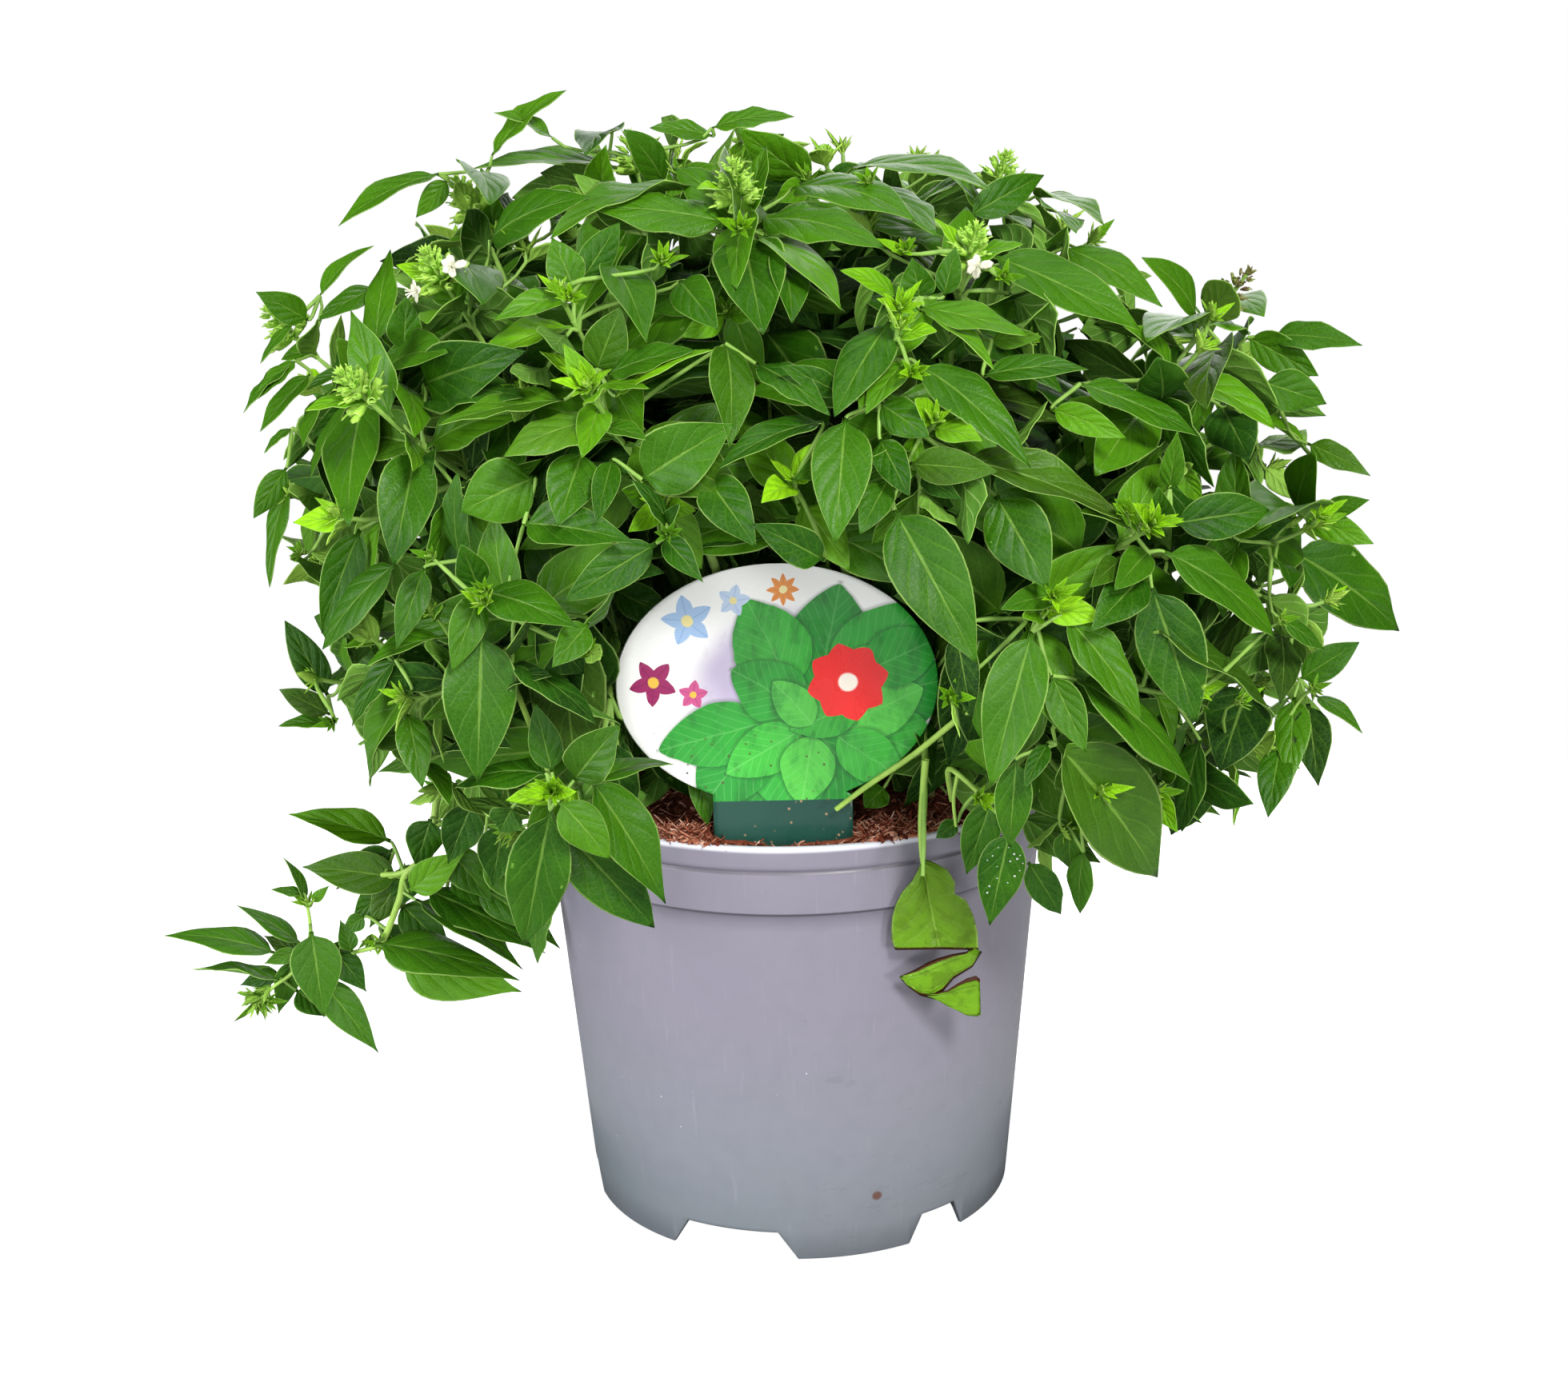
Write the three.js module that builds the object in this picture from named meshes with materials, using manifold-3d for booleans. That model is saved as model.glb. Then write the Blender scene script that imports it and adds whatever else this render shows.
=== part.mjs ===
// A basil plant in a 17 cm nursery pot: pot, soil, plant label, stems, leafy branches and flower spikes.
// Millimetres, +Z up. The origin is the centre of the pot's foot circle, and the label faces -Y.
import * as THREE from "three";
import { mergeVertices } from "three/addons/utils/BufferGeometryUtils.js";
import Module from "manifold-3d";

const wasm = await Module();
wasm.setup();

// ---------- driving dimensions ----------
// The pot's rim, band and groove are steps in one thin moulded wall; the skirt is the ring it stands on.
const POT = {
  height: 144.4, rim: 85, bandTop: 84.3, bandBottom: 84.0, wallTop: 82.7, foot: 72, wall: 1.2,
  bandZ: 122, bandStep: 0.6, grooveZ: 135.8, grooveIn: 0.5, grooveRise: 0.4, rimRise: 1.6,
  lip: 2.6, lipIn: 2.8, lipDepth: 2.5, floorZ: 10, skirt: 1.6, skirtCorner: 2, sides: 40,
};
const NOTCH = { height: 9.7, spacing: 120, wideAt: -109, narrowAt: -52, depth: 25 };
const NOTCH_WIDE = { bottom: 22.7, top: 15.6 };
const NOTCH_NARROW = { bottom: 12, top: 6.9 };
const DRAIN = { count: 6, radius: 5, ring: 52, sides: 8, drill: 8 };
const GAP = 0.3; // between pieces that touch
const ROUTED_GAP = 0.9; // along a shoot that bends where its stem ends, so that their corners clear
const LEAF_GAP = 0.4; // between a leaf and its neighbours
const TRIM = 0.02; // slivers smaller than this are taken out after the joins
const SOIL = { edgeZ: 140.5, crownZ: 145, shoulder: 14, shoulderDrop: 1.5, sides: 32 };
const LABEL = { wide: 98, tall: 75, thick: 0.6, x: -4.5, y: -73, z: 192.5, segments: 12 };
const STAKE = { left: -25, right: 18, straightTo: 118, tipZ: 78, corner: 6, overlap: 22.5 };
const STEM = { radius: 2.0, rootZ: 126, sides: 4, links: 3, rise: 26, bend: 24, lean: 0.25 };
const FORK = { spread: 1.12, out: 2, knuckle: 1.35 }; // a fork stands this much further out than its root
const ARM_RADIUS = 1.6;
const AXIS_RADIUS = 1.2;
const ARCH = { rise: 0.4, arrive: 0.38 }; // handles of a shoot's curve, as shares of its span
const BRANCH_STARTS = 0.42; // share of the way from a fork to a tip where the leafy branch takes over
const SIDE_STARTS = 0.35; // share of a leafy branch where its side tips leave it
const SIDE_LEAF = 0.9; // leaf size of a side tip against the main tip's
const DOME_HEART = new THREE.Vector3(0, 0, 215); // tips grow away from here
const TIP_LIFT = 0.55; // and this much upwards
const UP = new THREE.Vector3(0, 0, 1);
const NEARLY_UP = new THREE.Vector3(0.01, 0, 1); // never parallel to an upright shoot
const LEAF = { thick: 1.0, fold: 0.28, rings: [0, 0.4, 0.74, 1], widths: [0, 1, 0.66, 0], steps: 12 };
const PAIR_FROM_TIP = [5, 14, 27, 44, 64]; // mm down a shoot whose leaves are 44 mm long
const PAIR_SCALE = 44;
const PAIR_SIZE = [0.42, 0.74, 1, 1, 0.9];
const PAIR_ANGLE = [32, 55, 72, 84, 92]; // degrees between leaf and shoot
const PAIRS = [1, 2]; // the pairs that are full size; the rosette and old leaves are soft detail
const LEAFY_SHARE = 0.92; // no pair sits closer to a shoot's foot than this leaves
const REACH_WIDTH = 0.42; // width of a long leaf against its length
// How much one leaf differs from the next: shoot turn and leaf turn in radians, angle in degrees,
// and length, width, curl and sag as shares of the leaf's length.
const VARY = { turn: 0.8, roll: 0.2, angle: 9, length: 0.12, width: 0.04, curl: 0.25, sag: 0.2 };
const USUAL = { width: 0.46, curl: 0.5, sag: 0.35 };
const SHRINK = [1, 0.86, 0.72, 0.58, 0.45]; // sizes tried until a leaf clears its neighbours
const SPIKE = {
  radius: 5.2, height: 15, whorls: 3, sides: 6, taper: 0.55, waist: 0.45, top: 1.2, topAt: 0.97,
};

// Each stem: [azimuth on the soil in degrees, distance from the axis, fork height]
const STEMS = [
  [-108, 52, 205], [-72, 52, 205], [-36, 54, 190], [0, 54, 190], [36, 54, 190], [72, 54, 190],
  [108, 54, 190], [144, 54, 190], [180, 54, 190], [-144, 54, 190], [-90, 18, 225], [30, 20, 225],
  [150, 20, 225],
];

// Each leafy branch: the stem it forks from, its leaf length, and its tips as [x, y, z, spike].
// route holds points that it passes on its way to the first tip, and reach holds the tips of its
// long leaves, each as [share of the branch, x, y, z].
const BRANCHES = [
  { stem: 0, leaf: 42, tips: [[-52, -134, 290], [-34, -130, 258]], reach: [[0.92, -51, -158, 274]] },
  { stem: 0, leaf: 40, tips: [[-62, -106, 314]] },
  { stem: 1, leaf: 44, tips: [[31, -126, 304], [40, -136, 280]], reach: [[0.88, 63, -161, 270]] },
  { stem: 1, leaf: 42, tips: [[2, -130, 264]], reach: [[0.9, 13, -146, 236]] },
  { stem: 10, leaf: 46, tips: [[-13, -84, 340, 1]] },
  { stem: 9, leaf: 42, tips: [[-98, -84, 318, 1]] },
  { stem: 9, leaf: 46, tips: [[-118, -110, 288, 1], [-128, -98, 252]] },
  { stem: 9, leaf: 44, tips: [[-84, -132, 232], [-112, -108, 200]] },
  { stem: 9, leaf: 50, tips: [[-66, -118, 174]], reach: [[0.95, -76, -125, 128], [0.9, -42, -108, 132]] },
  { stem: 8, leaf: 40, tips: [[-154, -34, 300, 1], [-154, -46, 250]],
    reach: [[0.7, -177, 0, 270], [0.8, -172, -12, 292]] },
  { stem: 8, leaf: 40, tips: [[-146, -66, 196]] },
  { stem: 2, leaf: 40, tips: [[52, -102, 322, 1]] },
  { stem: 2, leaf: 42, tips: [[117, -100, 294], [133, -60, 306, 1]] },
  { stem: 2, leaf: 46, tips: [[98, -128, 248]], reach: [[0.95, 130, -142, 222]] },
  { stem: 2, leaf: 46, tips: [[70, -134, 228], [114, -120, 200]] },
  { stem: 2, leaf: 50, tips: [[88, -116, 170], [54, -108, 166]], reach: [[0.9, 103, -125, 147]] },
  { stem: 3, leaf: 44, tips: [[158, -70, 238], [170, -40, 208]], reach: [[0.9, 191, -24, 236]] },
  { stem: 3, leaf: 42, tips: [[160, -20, 272]], reach: [[0.9, 187, -4, 284]] },
  { stem: 3, leaf: 42, tips: [[146, -62, 166]], reach: [[0.75, 151, -30, 123]] },
  { stem: 3, leaf: 44, tips: [[172, 14, 206]], reach: [[0.85, 211, 22, 183], [0.7, 196, 24, 150]] },
  { stem: 11, leaf: 40, tips: [[66, -38, 340, 1], [14, -24, 348], [20, 8, 350]] },
  { stem: 12, leaf: 40, tips: [[-46, -10, 348, 1]] },
  { stem: 8, leaf: 44, tips: [[-98, -16, 336, 1]], reach: [[0.95, -68, 0, 369], [0.9, -136, -20, 330]] },
  { stem: 4, leaf: 44, tips: [[136, 52, 284], [160, 46, 222]] },
  { stem: 4, leaf: 42, tips: [[98, 62, 322]] },
  { stem: 5, leaf: 44, tips: [[66, 124, 288], [88, 122, 232]] },
  { stem: 11, leaf: 42, tips: [[46, 40, 346], [38, 90, 332]] },
  { stem: 6, leaf: 44, tips: [[-14, 138, 284], [6, 142, 226]] },
  { stem: 12, leaf: 42, tips: [[-36, 46, 348], [-48, 96, 326], [-4, 62, 348]] },
  { stem: 7, leaf: 44, tips: [[-96, 108, 288], [-122, 92, 228]] },
  { stem: 7, leaf: 42, tips: [[-112, 46, 322]] },
  { stem: 8, leaf: 42, tips: [[-160, 28, 276], [-164, 32, 214]] },
  { stem: 6, leaf: 44, tips: [[48, 128, 174], [-40, 128, 172]] },
  // The loose branch that arches over the rim on the left and hangs beside the pot.
  { stem: 8, leaf: 38, tips: [[-188, -10, 80], [-154, -16, 66], [-166, 4, 116]],
    route: [[-96, -8, 184], [-118, -14, 150]], reach: [[0.95, -215, -10, 92], [0.6, -146, -12, 48]] },
  // The weak shoot that lies over the rim beside the label, with a torn leaf hanging from it.
  { stem: 2, leaf: 30, tips: [[38, -95, 138]], route: [[42, -52, 186], [40, -78, 168]], bare: true,
    reach: [[0.96, 40, -97, 100]] },
];

// ---------- solids and meshes ----------
function solidOf(geometry) {
  geometry.deleteAttribute("normal");
  geometry.deleteAttribute("uv");
  const merged = mergeVertices(geometry, 1e-4);
  const triVerts = new Uint32Array(merged.index.array);
  const vertProperties = merged.attributes.position.array;
  return new wasm.Manifold(new wasm.Mesh({ numProp: 3, vertProperties, triVerts }));
}

function union(solids) {
  return solids.reduce((joined, next) => joined.add(next));
}

function meshOf(name, solid, material) {
  const { vertProperties, triVerts } = solid.getMesh();
  const geometry = new THREE.BufferGeometry();
  geometry.setAttribute("position", new THREE.BufferAttribute(vertProperties, 3));
  geometry.setIndex(new THREE.BufferAttribute(triVerts, 1));
  geometry.computeVertexNormals();
  const mesh = new THREE.Mesh(geometry, material);
  mesh.name = name;
  return mesh;
}

function polygon(sides, radius) {
  const corners = Array.from({ length: sides }, (_, i) => (i / sides) * 2 * Math.PI);
  return new THREE.Shape(corners.map((a) => new THREE.Vector2(radius * Math.cos(a), radius * Math.sin(a))));
}

function lathe(profile, sides) {
  const points = profile.map(([r, z]) => new THREE.Vector2(r, z));
  return solidOf(new THREE.LatheGeometry(points, sides).rotateX(Math.PI / 2));
}

// Straight links between points spaced evenly along a curve, or along a stretch of it.
class Chain extends THREE.Curve {
  constructor(curve, from = 0, to = 1, links = STEM.links) {
    super();
    const share = (i) => from + ((to - from) * i) / links;
    this.knots = Array.from({ length: links + 1 }, (_, i) => curve.getPointAt(share(i)));
  }
  getPoint(t) {
    const place = Math.min(Math.max(t, 0), 1) * (this.knots.length - 1);
    const link = Math.min(Math.floor(place), this.knots.length - 2);
    return this.knots[link].clone().lerp(this.knots[link + 1], place - link);
  }
}

function tube(chain, radius) {
  const shape = polygon(STEM.sides, radius);
  return solidOf(new THREE.ExtrudeGeometry(shape, { extrudePath: chain, steps: chain.knots.length - 1 }));
}

const polar = (azimuth, radius, z) => {
  const a = THREE.MathUtils.degToRad(azimuth);
  return new THREE.Vector3(radius * Math.cos(a), radius * Math.sin(a), z);
};

// A repeatable number from -1 to 1 for piece i, leaf j and use k.
const vary = (i, j, k) => {
  const n = Math.sin(i * 12.9898 + j * 78.233 + k * 37.719) * 43758.5453;
  return 2 * (n - Math.floor(n)) - 1;
};

// ---------- pot, soil, label ----------
function wallRadius(z) {
  return POT.foot + ((POT.wallTop - POT.foot) * z) / POT.bandZ;
}

function notch({ bottom, top }, azimuth) {
  const outline = new THREE.Shape();
  outline.moveTo(-bottom, -1);
  outline.lineTo(bottom, -1);
  outline.lineTo(top, NOTCH.height);
  outline.lineTo(-top, NOTCH.height);
  const block = new THREE.ExtrudeGeometry(outline, { depth: NOTCH.depth, bevelEnabled: false });
  block.translate(0, 0, POT.foot - NOTCH.depth / 2);
  // The outline's plane stands upright and its depth runs outwards along the azimuth.
  const out = polar(azimuth, 1, 0);
  const along = new THREE.Vector3(-out.y, out.x, 0);
  return solidOf(block.applyMatrix4(new THREE.Matrix4().makeBasis(along, UP, out)));
}

function makePot() {
  const { height, rim, bandTop, bandBottom, bandZ, bandStep, grooveZ, grooveIn, grooveRise, rimRise } = POT;
  const { lip, lipIn, lipDepth, floorZ, wall, skirt, skirtCorner, foot } = POT;
  const inner = foot - skirt;
  const body = lathe([
    [0, floorZ], [inner - skirtCorner / 5, floorZ], [inner, floorZ - skirtCorner], [inner, 0], [foot, 0],
    [wallRadius(bandZ), bandZ], [bandBottom, bandZ + bandStep], [bandTop, grooveZ],
    [bandTop - grooveIn, grooveZ + grooveRise], [rim, grooveZ + rimRise], [rim, height],
    [rim - lip, height], [rim - lipIn, height - lipDepth], [wallRadius(bandZ) - wall, bandZ - 1],
    [wallRadius(floorZ) - wall, floorZ + wall], [0, floorZ + wall],
  ], POT.sides);
  const cuts = [];
  for (let turn = 0; turn < 360 / NOTCH.spacing; turn += 1) {
    cuts.push(notch(NOTCH_WIDE, NOTCH.wideAt + turn * NOTCH.spacing));
    cuts.push(notch(NOTCH_NARROW, NOTCH.narrowAt + turn * NOTCH.spacing));
  }
  for (let hole = 0; hole < DRAIN.count; hole += 1) {
    const centre = polar((hole * 360) / DRAIN.count, DRAIN.ring, floorZ);
    const drill = new THREE.CylinderGeometry(DRAIN.radius, DRAIN.radius, DRAIN.drill, DRAIN.sides);
    cuts.push(solidOf(drill.rotateX(Math.PI / 2).translate(centre.x, centre.y, centre.z)));
  }
  return body.subtract(union(cuts));
}

function makeSoil(holes) {
  const inside = (z) => wallRadius(z) - POT.wall - GAP;
  const bottom = POT.floorZ + POT.wall + GAP;
  const edge = POT.rim - POT.lipIn - 0.1 - GAP;
  const body = lathe([
    [0, bottom], [inside(bottom) - GAP, bottom], [inside(POT.bandZ - 1), POT.bandZ - 1], [edge, SOIL.edgeZ],
    [edge - SOIL.shoulder, SOIL.crownZ - SOIL.shoulderDrop], [0, SOIL.crownZ],
  ], SOIL.sides);
  return body.subtract(union(holes));
}

// The label's outline in its own plane: an oval head, and a stake that narrows to a point in the soil.
function labelSolid(grow) {
  const { wide, tall, thick, x, y, z } = LABEL;
  const head = new THREE.Shape().absellipse(x, z, wide / 2 + grow, tall / 2 + grow, 0, 2 * Math.PI);
  const stake = new THREE.Shape();
  const middle = (STAKE.left + STAKE.right) / 2;
  stake.moveTo(STAKE.left - grow, z - STAKE.overlap);
  stake.lineTo(STAKE.left - grow, STAKE.straightTo);
  stake.lineTo(middle - STAKE.corner / 2, STAKE.tipZ - grow);
  stake.lineTo(middle + STAKE.corner / 2, STAKE.tipZ - grow);
  stake.lineTo(STAKE.right + grow, STAKE.straightTo);
  stake.lineTo(STAKE.right + grow, z - STAKE.overlap);
  const options = { depth: thick + 2 * grow, bevelEnabled: false, curveSegments: LABEL.segments };
  const plates = [head, stake].map((shape) => {
    const plate = new THREE.ExtrudeGeometry(shape, options);
    return solidOf(plate.translate(0, 0, -thick / 2 - grow).rotateX(Math.PI / 2).translate(0, y, 0));
  });
  return union(plates);
}

// ---------- plant ----------
// The way a tip points: out from the heart of the dome, and up.
function tipDirection(tip) {
  return tip.clone().sub(DOME_HEART).normalize().addScaledVector(UP, TIP_LIFT).normalize();
}

// A curve from a fork through a route's points to a tip.
function along(fork, route, tip) {
  const points = [fork, ...route.map((point) => new THREE.Vector3(...point)), tip];
  return new THREE.CatmullRomCurve3(points, false, "centripetal");
}

// The swelling where a stem forks.
function knuckle(fork) {
  const ball = new THREE.IcosahedronGeometry(STEM.radius * FORK.knuckle, 0);
  return solidOf(ball.translate(fork.x, fork.y, fork.z));
}

function arch(from, rise, tip, way) {
  const span = from.distanceTo(tip);
  const first = from.clone().addScaledVector(rise, span * ARCH.rise);
  const second = tip.clone().addScaledVector(way, -span * ARCH.arrive);
  return new THREE.CubicBezierCurve3(from, first, second, tip);
}

function stemParts([azimuth, radius, forkZ]) {
  const root = polar(azimuth, radius, STEM.rootZ);
  const fork = polar(azimuth, radius * FORK.spread + FORK.out, forkZ);
  const lean = polar(azimuth, STEM.lean, 1).normalize();
  const above = root.clone().addScaledVector(UP, STEM.rise);
  const below = fork.clone().addScaledVector(lean, -STEM.bend);
  const bend = new THREE.CubicBezierCurve3(root, above, below, fork);
  return { fork, lean, trunk: new Chain(bend) };
}

// Points and facings along a leaf's midrib, by small steps that bend it back and down.
function midrib(leaf, shares) {
  const { base, way, face, length, curl, sag } = leaf;
  const { steps } = LEAF;
  const at = base.clone();
  const found = [];
  for (let step = 0; step <= steps; step += 1) {
    const s = step / steps;
    const ahead = way.clone().addScaledVector(face, -curl * s);
    ahead.z -= sag * s;
    ahead.normalize();
    const normal = face.clone().addScaledVector(ahead, -face.dot(ahead)).normalize();
    found.push({ at: at.clone(), ahead, normal });
    at.addScaledVector(ahead, length / steps);
  }
  return shares.map((s) => found[Math.round(s * steps)]);
}

// A leaf is a four-sided spindle, drawn out along its midrib and flattened.
function leafSolid(leaf, grow) {
  const geometry = new THREE.SphereGeometry(1, 4, LEAF.rings.length - 1);
  geometry.deleteAttribute("normal");
  geometry.deleteAttribute("uv");
  const blank = mergeVertices(geometry, 1e-4);
  const spine = midrib(leaf, LEAF.rings);
  const place = blank.attributes.position;
  const point = new THREE.Vector3();
  for (let i = 0; i < place.count; i += 1) {
    point.fromBufferAttribute(place, i);
    const share = Math.acos(THREE.MathUtils.clamp(point.y, -1, 1)) / Math.PI;
    const ring = Math.round(share * (LEAF.rings.length - 1));
    const { at, ahead, normal } = spine[ring];
    const round = Math.hypot(point.x, point.z) || 1;
    const half = (leaf.width / 2) * LEAF.widths[ring] + (LEAF.widths[ring] ? grow : 0);
    const across = new THREE.Vector3().crossVectors(normal, ahead);
    const sideways = (point.x / round) * half;
    const lift = Math.abs(sideways) * LEAF.fold + (point.z / round) * (LEAF.thick / 2 + grow);
    const here = at.clone();
    if (LEAF.widths[ring]) here.addScaledVector(across, sideways).addScaledVector(normal, lift);
    else if (ring) here.addScaledVector(ahead, grow);
    place.setXYZ(i, here.x, here.y, here.z);
  }
  return solidOf(blank);
}

// A long leaf from a share of a shoot to a given tip, facing up and out of the dome.
function reachingLeaf(curve, [share, x, y, z]) {
  const base = curve.getPointAt(share);
  const tip = new THREE.Vector3(x, y, z);
  const way = tip.clone().sub(base).normalize();
  const outward = tipDirection(tip);
  const face = outward.addScaledVector(way, -outward.dot(way)).normalize();
  const length = base.distanceTo(tip);
  return { base, way, face, length, width: length * REACH_WIDTH, curl: 0, sag: 0 };
}

// The leaves of one shoot, in crossed pairs down from its tip.
function shootLeaves(curve, size, seed) {
  const length = curve.getLength();
  const leaves = [];
  PAIRS.forEach((pair) => {
    const back = PAIR_FROM_TIP[pair] * (size / PAIR_SCALE);
    if (back > length * LEAFY_SHARE) return;
    const u = 1 - back / length;
    const base = curve.getPointAt(u);
    const along = curve.getTangentAt(u);
    const first = new THREE.Vector3().crossVectors(along, NEARLY_UP).normalize();
    const second = new THREE.Vector3().crossVectors(along, first);
    for (let side = 0; side < 2; side += 1) {
      const j = pair * 2 + side;
      const turn = vary(seed, 0, 1) * VARY.turn + vary(seed, j, 2) * VARY.roll;
      const roll = turn + pair * (Math.PI / 2) + side * Math.PI;
      const out = first.clone().multiplyScalar(Math.cos(roll)).addScaledVector(second, Math.sin(roll));
      const angle = THREE.MathUtils.degToRad(PAIR_ANGLE[pair] + vary(seed, j, 3) * VARY.angle);
      const long = size * PAIR_SIZE[pair] * (1 + vary(seed, j, 4) * VARY.length);
      leaves.push({
        base,
        way: along.clone().multiplyScalar(Math.cos(angle)).addScaledVector(out, Math.sin(angle)),
        face: along.clone().multiplyScalar(Math.sin(angle)).addScaledVector(out, -Math.cos(angle)),
        length: long,
        width: long * (USUAL.width + vary(seed, j, 5) * VARY.width),
        curl: USUAL.curl + vary(seed, j, 6) * VARY.curl,
        sag: USUAL.sag + vary(seed, j, 7) * VARY.sag,
      });
    }
  });
  return leaves;
}

function spikeSolid(tip, way) {
  const { radius, height, whorls, sides, taper, waist, top, topAt } = SPIKE;
  const profile = [[0, 0]];
  for (let whorl = 0; whorl < whorls; whorl += 1) {
    const size = radius * (1 - (taper * whorl) / whorls);
    const low = (height * whorl) / whorls;
    profile.push([size * waist, low], [size, low + height / whorls / 2]);
  }
  profile.push([top, height * topAt], [0, height]);
  const turn = new THREE.Quaternion().setFromUnitVectors(UP, way);
  const at = tip.clone().addScaledVector(way, GAP);
  const points = profile.map(([r, z]) => new THREE.Vector2(r, z));
  const column = new THREE.LatheGeometry(points, sides).rotateX(Math.PI / 2).applyQuaternion(turn);
  return solidOf(column.translate(at.x, at.y, at.z));
}

// ---------- assembly ----------
const finish = (color, roughness) => new THREE.MeshStandardMaterial({ color, roughness, metalness: 0 });
const MATERIALS = {
  pot: finish(0x9c9fb0, 0.42), soil: finish(0x6b3d28, 0.95), label: finish(0xd8d4e4, 0.3),
  stem: finish(0x8fae5a, 0.55), leaf: finish(0x4a7d34, 0.5), spike: finish(0x9cc64a, 0.6),
};

const placed = []; // every solid so far, with the node it belongs to
const keep = (node, solid) => {
  placed.push({ node, solid, box: solid.boundingBox() });
  return solid;
};

function boxesMeet(a, b) {
  return [0, 1, 2].every((i) => a.min[i] <= b.max[i] && b.min[i] <= a.max[i]);
}

function clears(node, solid) {
  const box = solid.boundingBox();
  return placed.every((other) => other.node === node || !boxesMeet(box, other.box)
    || other.solid.intersect(solid).isEmpty());
}

const plant = new THREE.Group();
const number = (i) => String(i + 1).padStart(2, "0");

keep("plant_label", labelSolid(0));
keep("nursery_pot", makePot());

const stems = STEMS.map(stemParts);
const stemSolids = stems.map(({ trunk, fork }) => [tube(trunk, STEM.radius), knuckle(fork)]);
const shoots = [];
const spikes = [];
BRANCHES.forEach(({ stem, leaf, tips, route, reach = [], bare }, index) => {
  const node = `leafy_branch_${number(index)}`;
  const { fork, lean } = stems[stem];
  const points = tips.map(([x, y, z]) => new THREE.Vector3(x, y, z));
  const whole = route ? along(fork, route, points[0]) : arch(fork, lean, points[0], tipDirection(points[0]));
  const length = whole.getLength();
  stemSolids[stem].push(tube(new Chain(whole, 0, BRANCH_STARTS), ARM_RADIUS));
  const axis = new Chain(whole, BRANCH_STARTS + (route ? ROUTED_GAP : GAP) / length, 1);
  const curves = [axis];
  points.slice(1).forEach((tip) => {
    const from = axis.getPointAt(SIDE_STARTS);
    curves.push(new Chain(arch(from, axis.getTangentAt(SIDE_STARTS), tip, tipDirection(tip))));
  });
  curves.forEach((curve, k) => {
    const leaves = bare ? [] : shootLeaves(curve, leaf * (k ? SIDE_LEAF : 1), index * 4 + k);
    const long = k ? [] : reach.map((spec) => reachingLeaf(curve, spec));
    shoots.push({ node, curve, leaves: [...long, ...leaves] });
    if (tips[k][3]) spikes.push({ tip: points[k], way: curve.getTangentAt(1) });
  });
});

const soilHoles = stems.map(({ trunk }) => tube(trunk, STEM.radius + GAP));
soilHoles.push(labelSolid(GAP));
keep("potting_soil", makeSoil(soilHoles));
stemSolids.forEach((solids, i) => keep(`stem_${number(i)}`, union(solids)));
shoots.forEach(({ node, curve }) => keep(node, tube(curve, AXIS_RADIUS)));
spikes.forEach(({ tip, way }, i) => keep(`flower_spike_${number(i)}`, spikeSolid(tip, way)));
shoots.forEach(({ node, leaves }) => leaves.forEach((leaf) => {
  for (const share of SHRINK) {
    const smaller = { ...leaf, length: leaf.length * share, width: leaf.width * share };
    if (clears(node, leafSolid(smaller, LEAF_GAP))) {
      keep(node, leafSolid(smaller, 0));
      break;
    }
  }
}));

const KIND = [
  [/^nursery_pot/, MATERIALS.pot], [/^potting_soil/, MATERIALS.soil], [/^plant_label/, MATERIALS.label],
  [/^stem/, MATERIALS.stem], [/^flower_spike/, MATERIALS.spike], [/^leafy_branch/, MATERIALS.leaf],
];
const nodes = new Map();
placed.forEach(({ node, solid }) => nodes.set(node, nodes.has(node) ? nodes.get(node).add(solid) : solid));
nodes.forEach((solid, name) => {
  const [, material] = KIND.find(([pattern]) => pattern.test(name));
  plant.add(meshOf(name, solid.simplify(TRIM), material));
});

export default plant;
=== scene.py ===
"""A basil plant in a 17 cm nursery pot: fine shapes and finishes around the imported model.

Sizes and places are in millimetres in the row frame, and each mesh is written in metres.
"""
import math

import bpy
import numpy as np
from mathutils import Matrix, Vector, noise
from mathutils.bvhtree import BVHTree


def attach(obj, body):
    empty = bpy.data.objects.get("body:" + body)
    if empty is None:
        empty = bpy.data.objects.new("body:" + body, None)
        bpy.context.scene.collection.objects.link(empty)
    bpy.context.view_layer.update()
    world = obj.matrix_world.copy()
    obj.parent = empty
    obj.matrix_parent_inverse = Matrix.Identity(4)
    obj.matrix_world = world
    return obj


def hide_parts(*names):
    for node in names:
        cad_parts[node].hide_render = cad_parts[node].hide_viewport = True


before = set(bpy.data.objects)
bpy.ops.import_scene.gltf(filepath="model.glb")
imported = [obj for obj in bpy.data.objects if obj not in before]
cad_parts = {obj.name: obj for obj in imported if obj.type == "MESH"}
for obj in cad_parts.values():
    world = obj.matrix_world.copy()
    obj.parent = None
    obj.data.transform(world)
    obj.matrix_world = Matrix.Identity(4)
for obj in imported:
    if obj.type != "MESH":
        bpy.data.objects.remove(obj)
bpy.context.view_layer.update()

MM = 0.001

# ---------- driving dimensions, as in the solid model ----------
POT = dict(height=144.4, rim=85, band_top=84.3, band_bottom=84.0, wall_top=82.7, foot=72, wall=1.2,
           band_z=122, groove_z=135.8, floor_z=10, skirt=1.6)
NOTCH = dict(height=9.7, spacing=120, wide_at=-109, narrow_at=-52)
NOTCH_WIDE = dict(bottom=22.7, top=15.6)
NOTCH_NARROW = dict(bottom=12, top=6.9)
DRAIN = dict(count=6, radius=5, ring=52)
SOIL = dict(edge_z=140.5, crown_z=145)
LABEL = dict(wide=98, tall=75, thick=0.6, x=-4.5, y=-73, z=192.5)
STAKE = dict(left=-25, right=18, straight_to=118, tip_z=78, corner=6)
STEM = dict(radius=2.0, root_z=126, rise=26, bend=24, lean=0.25)
FORK = dict(spread=1.12, out=2)
ARM_RADIUS = 1.6
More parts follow.
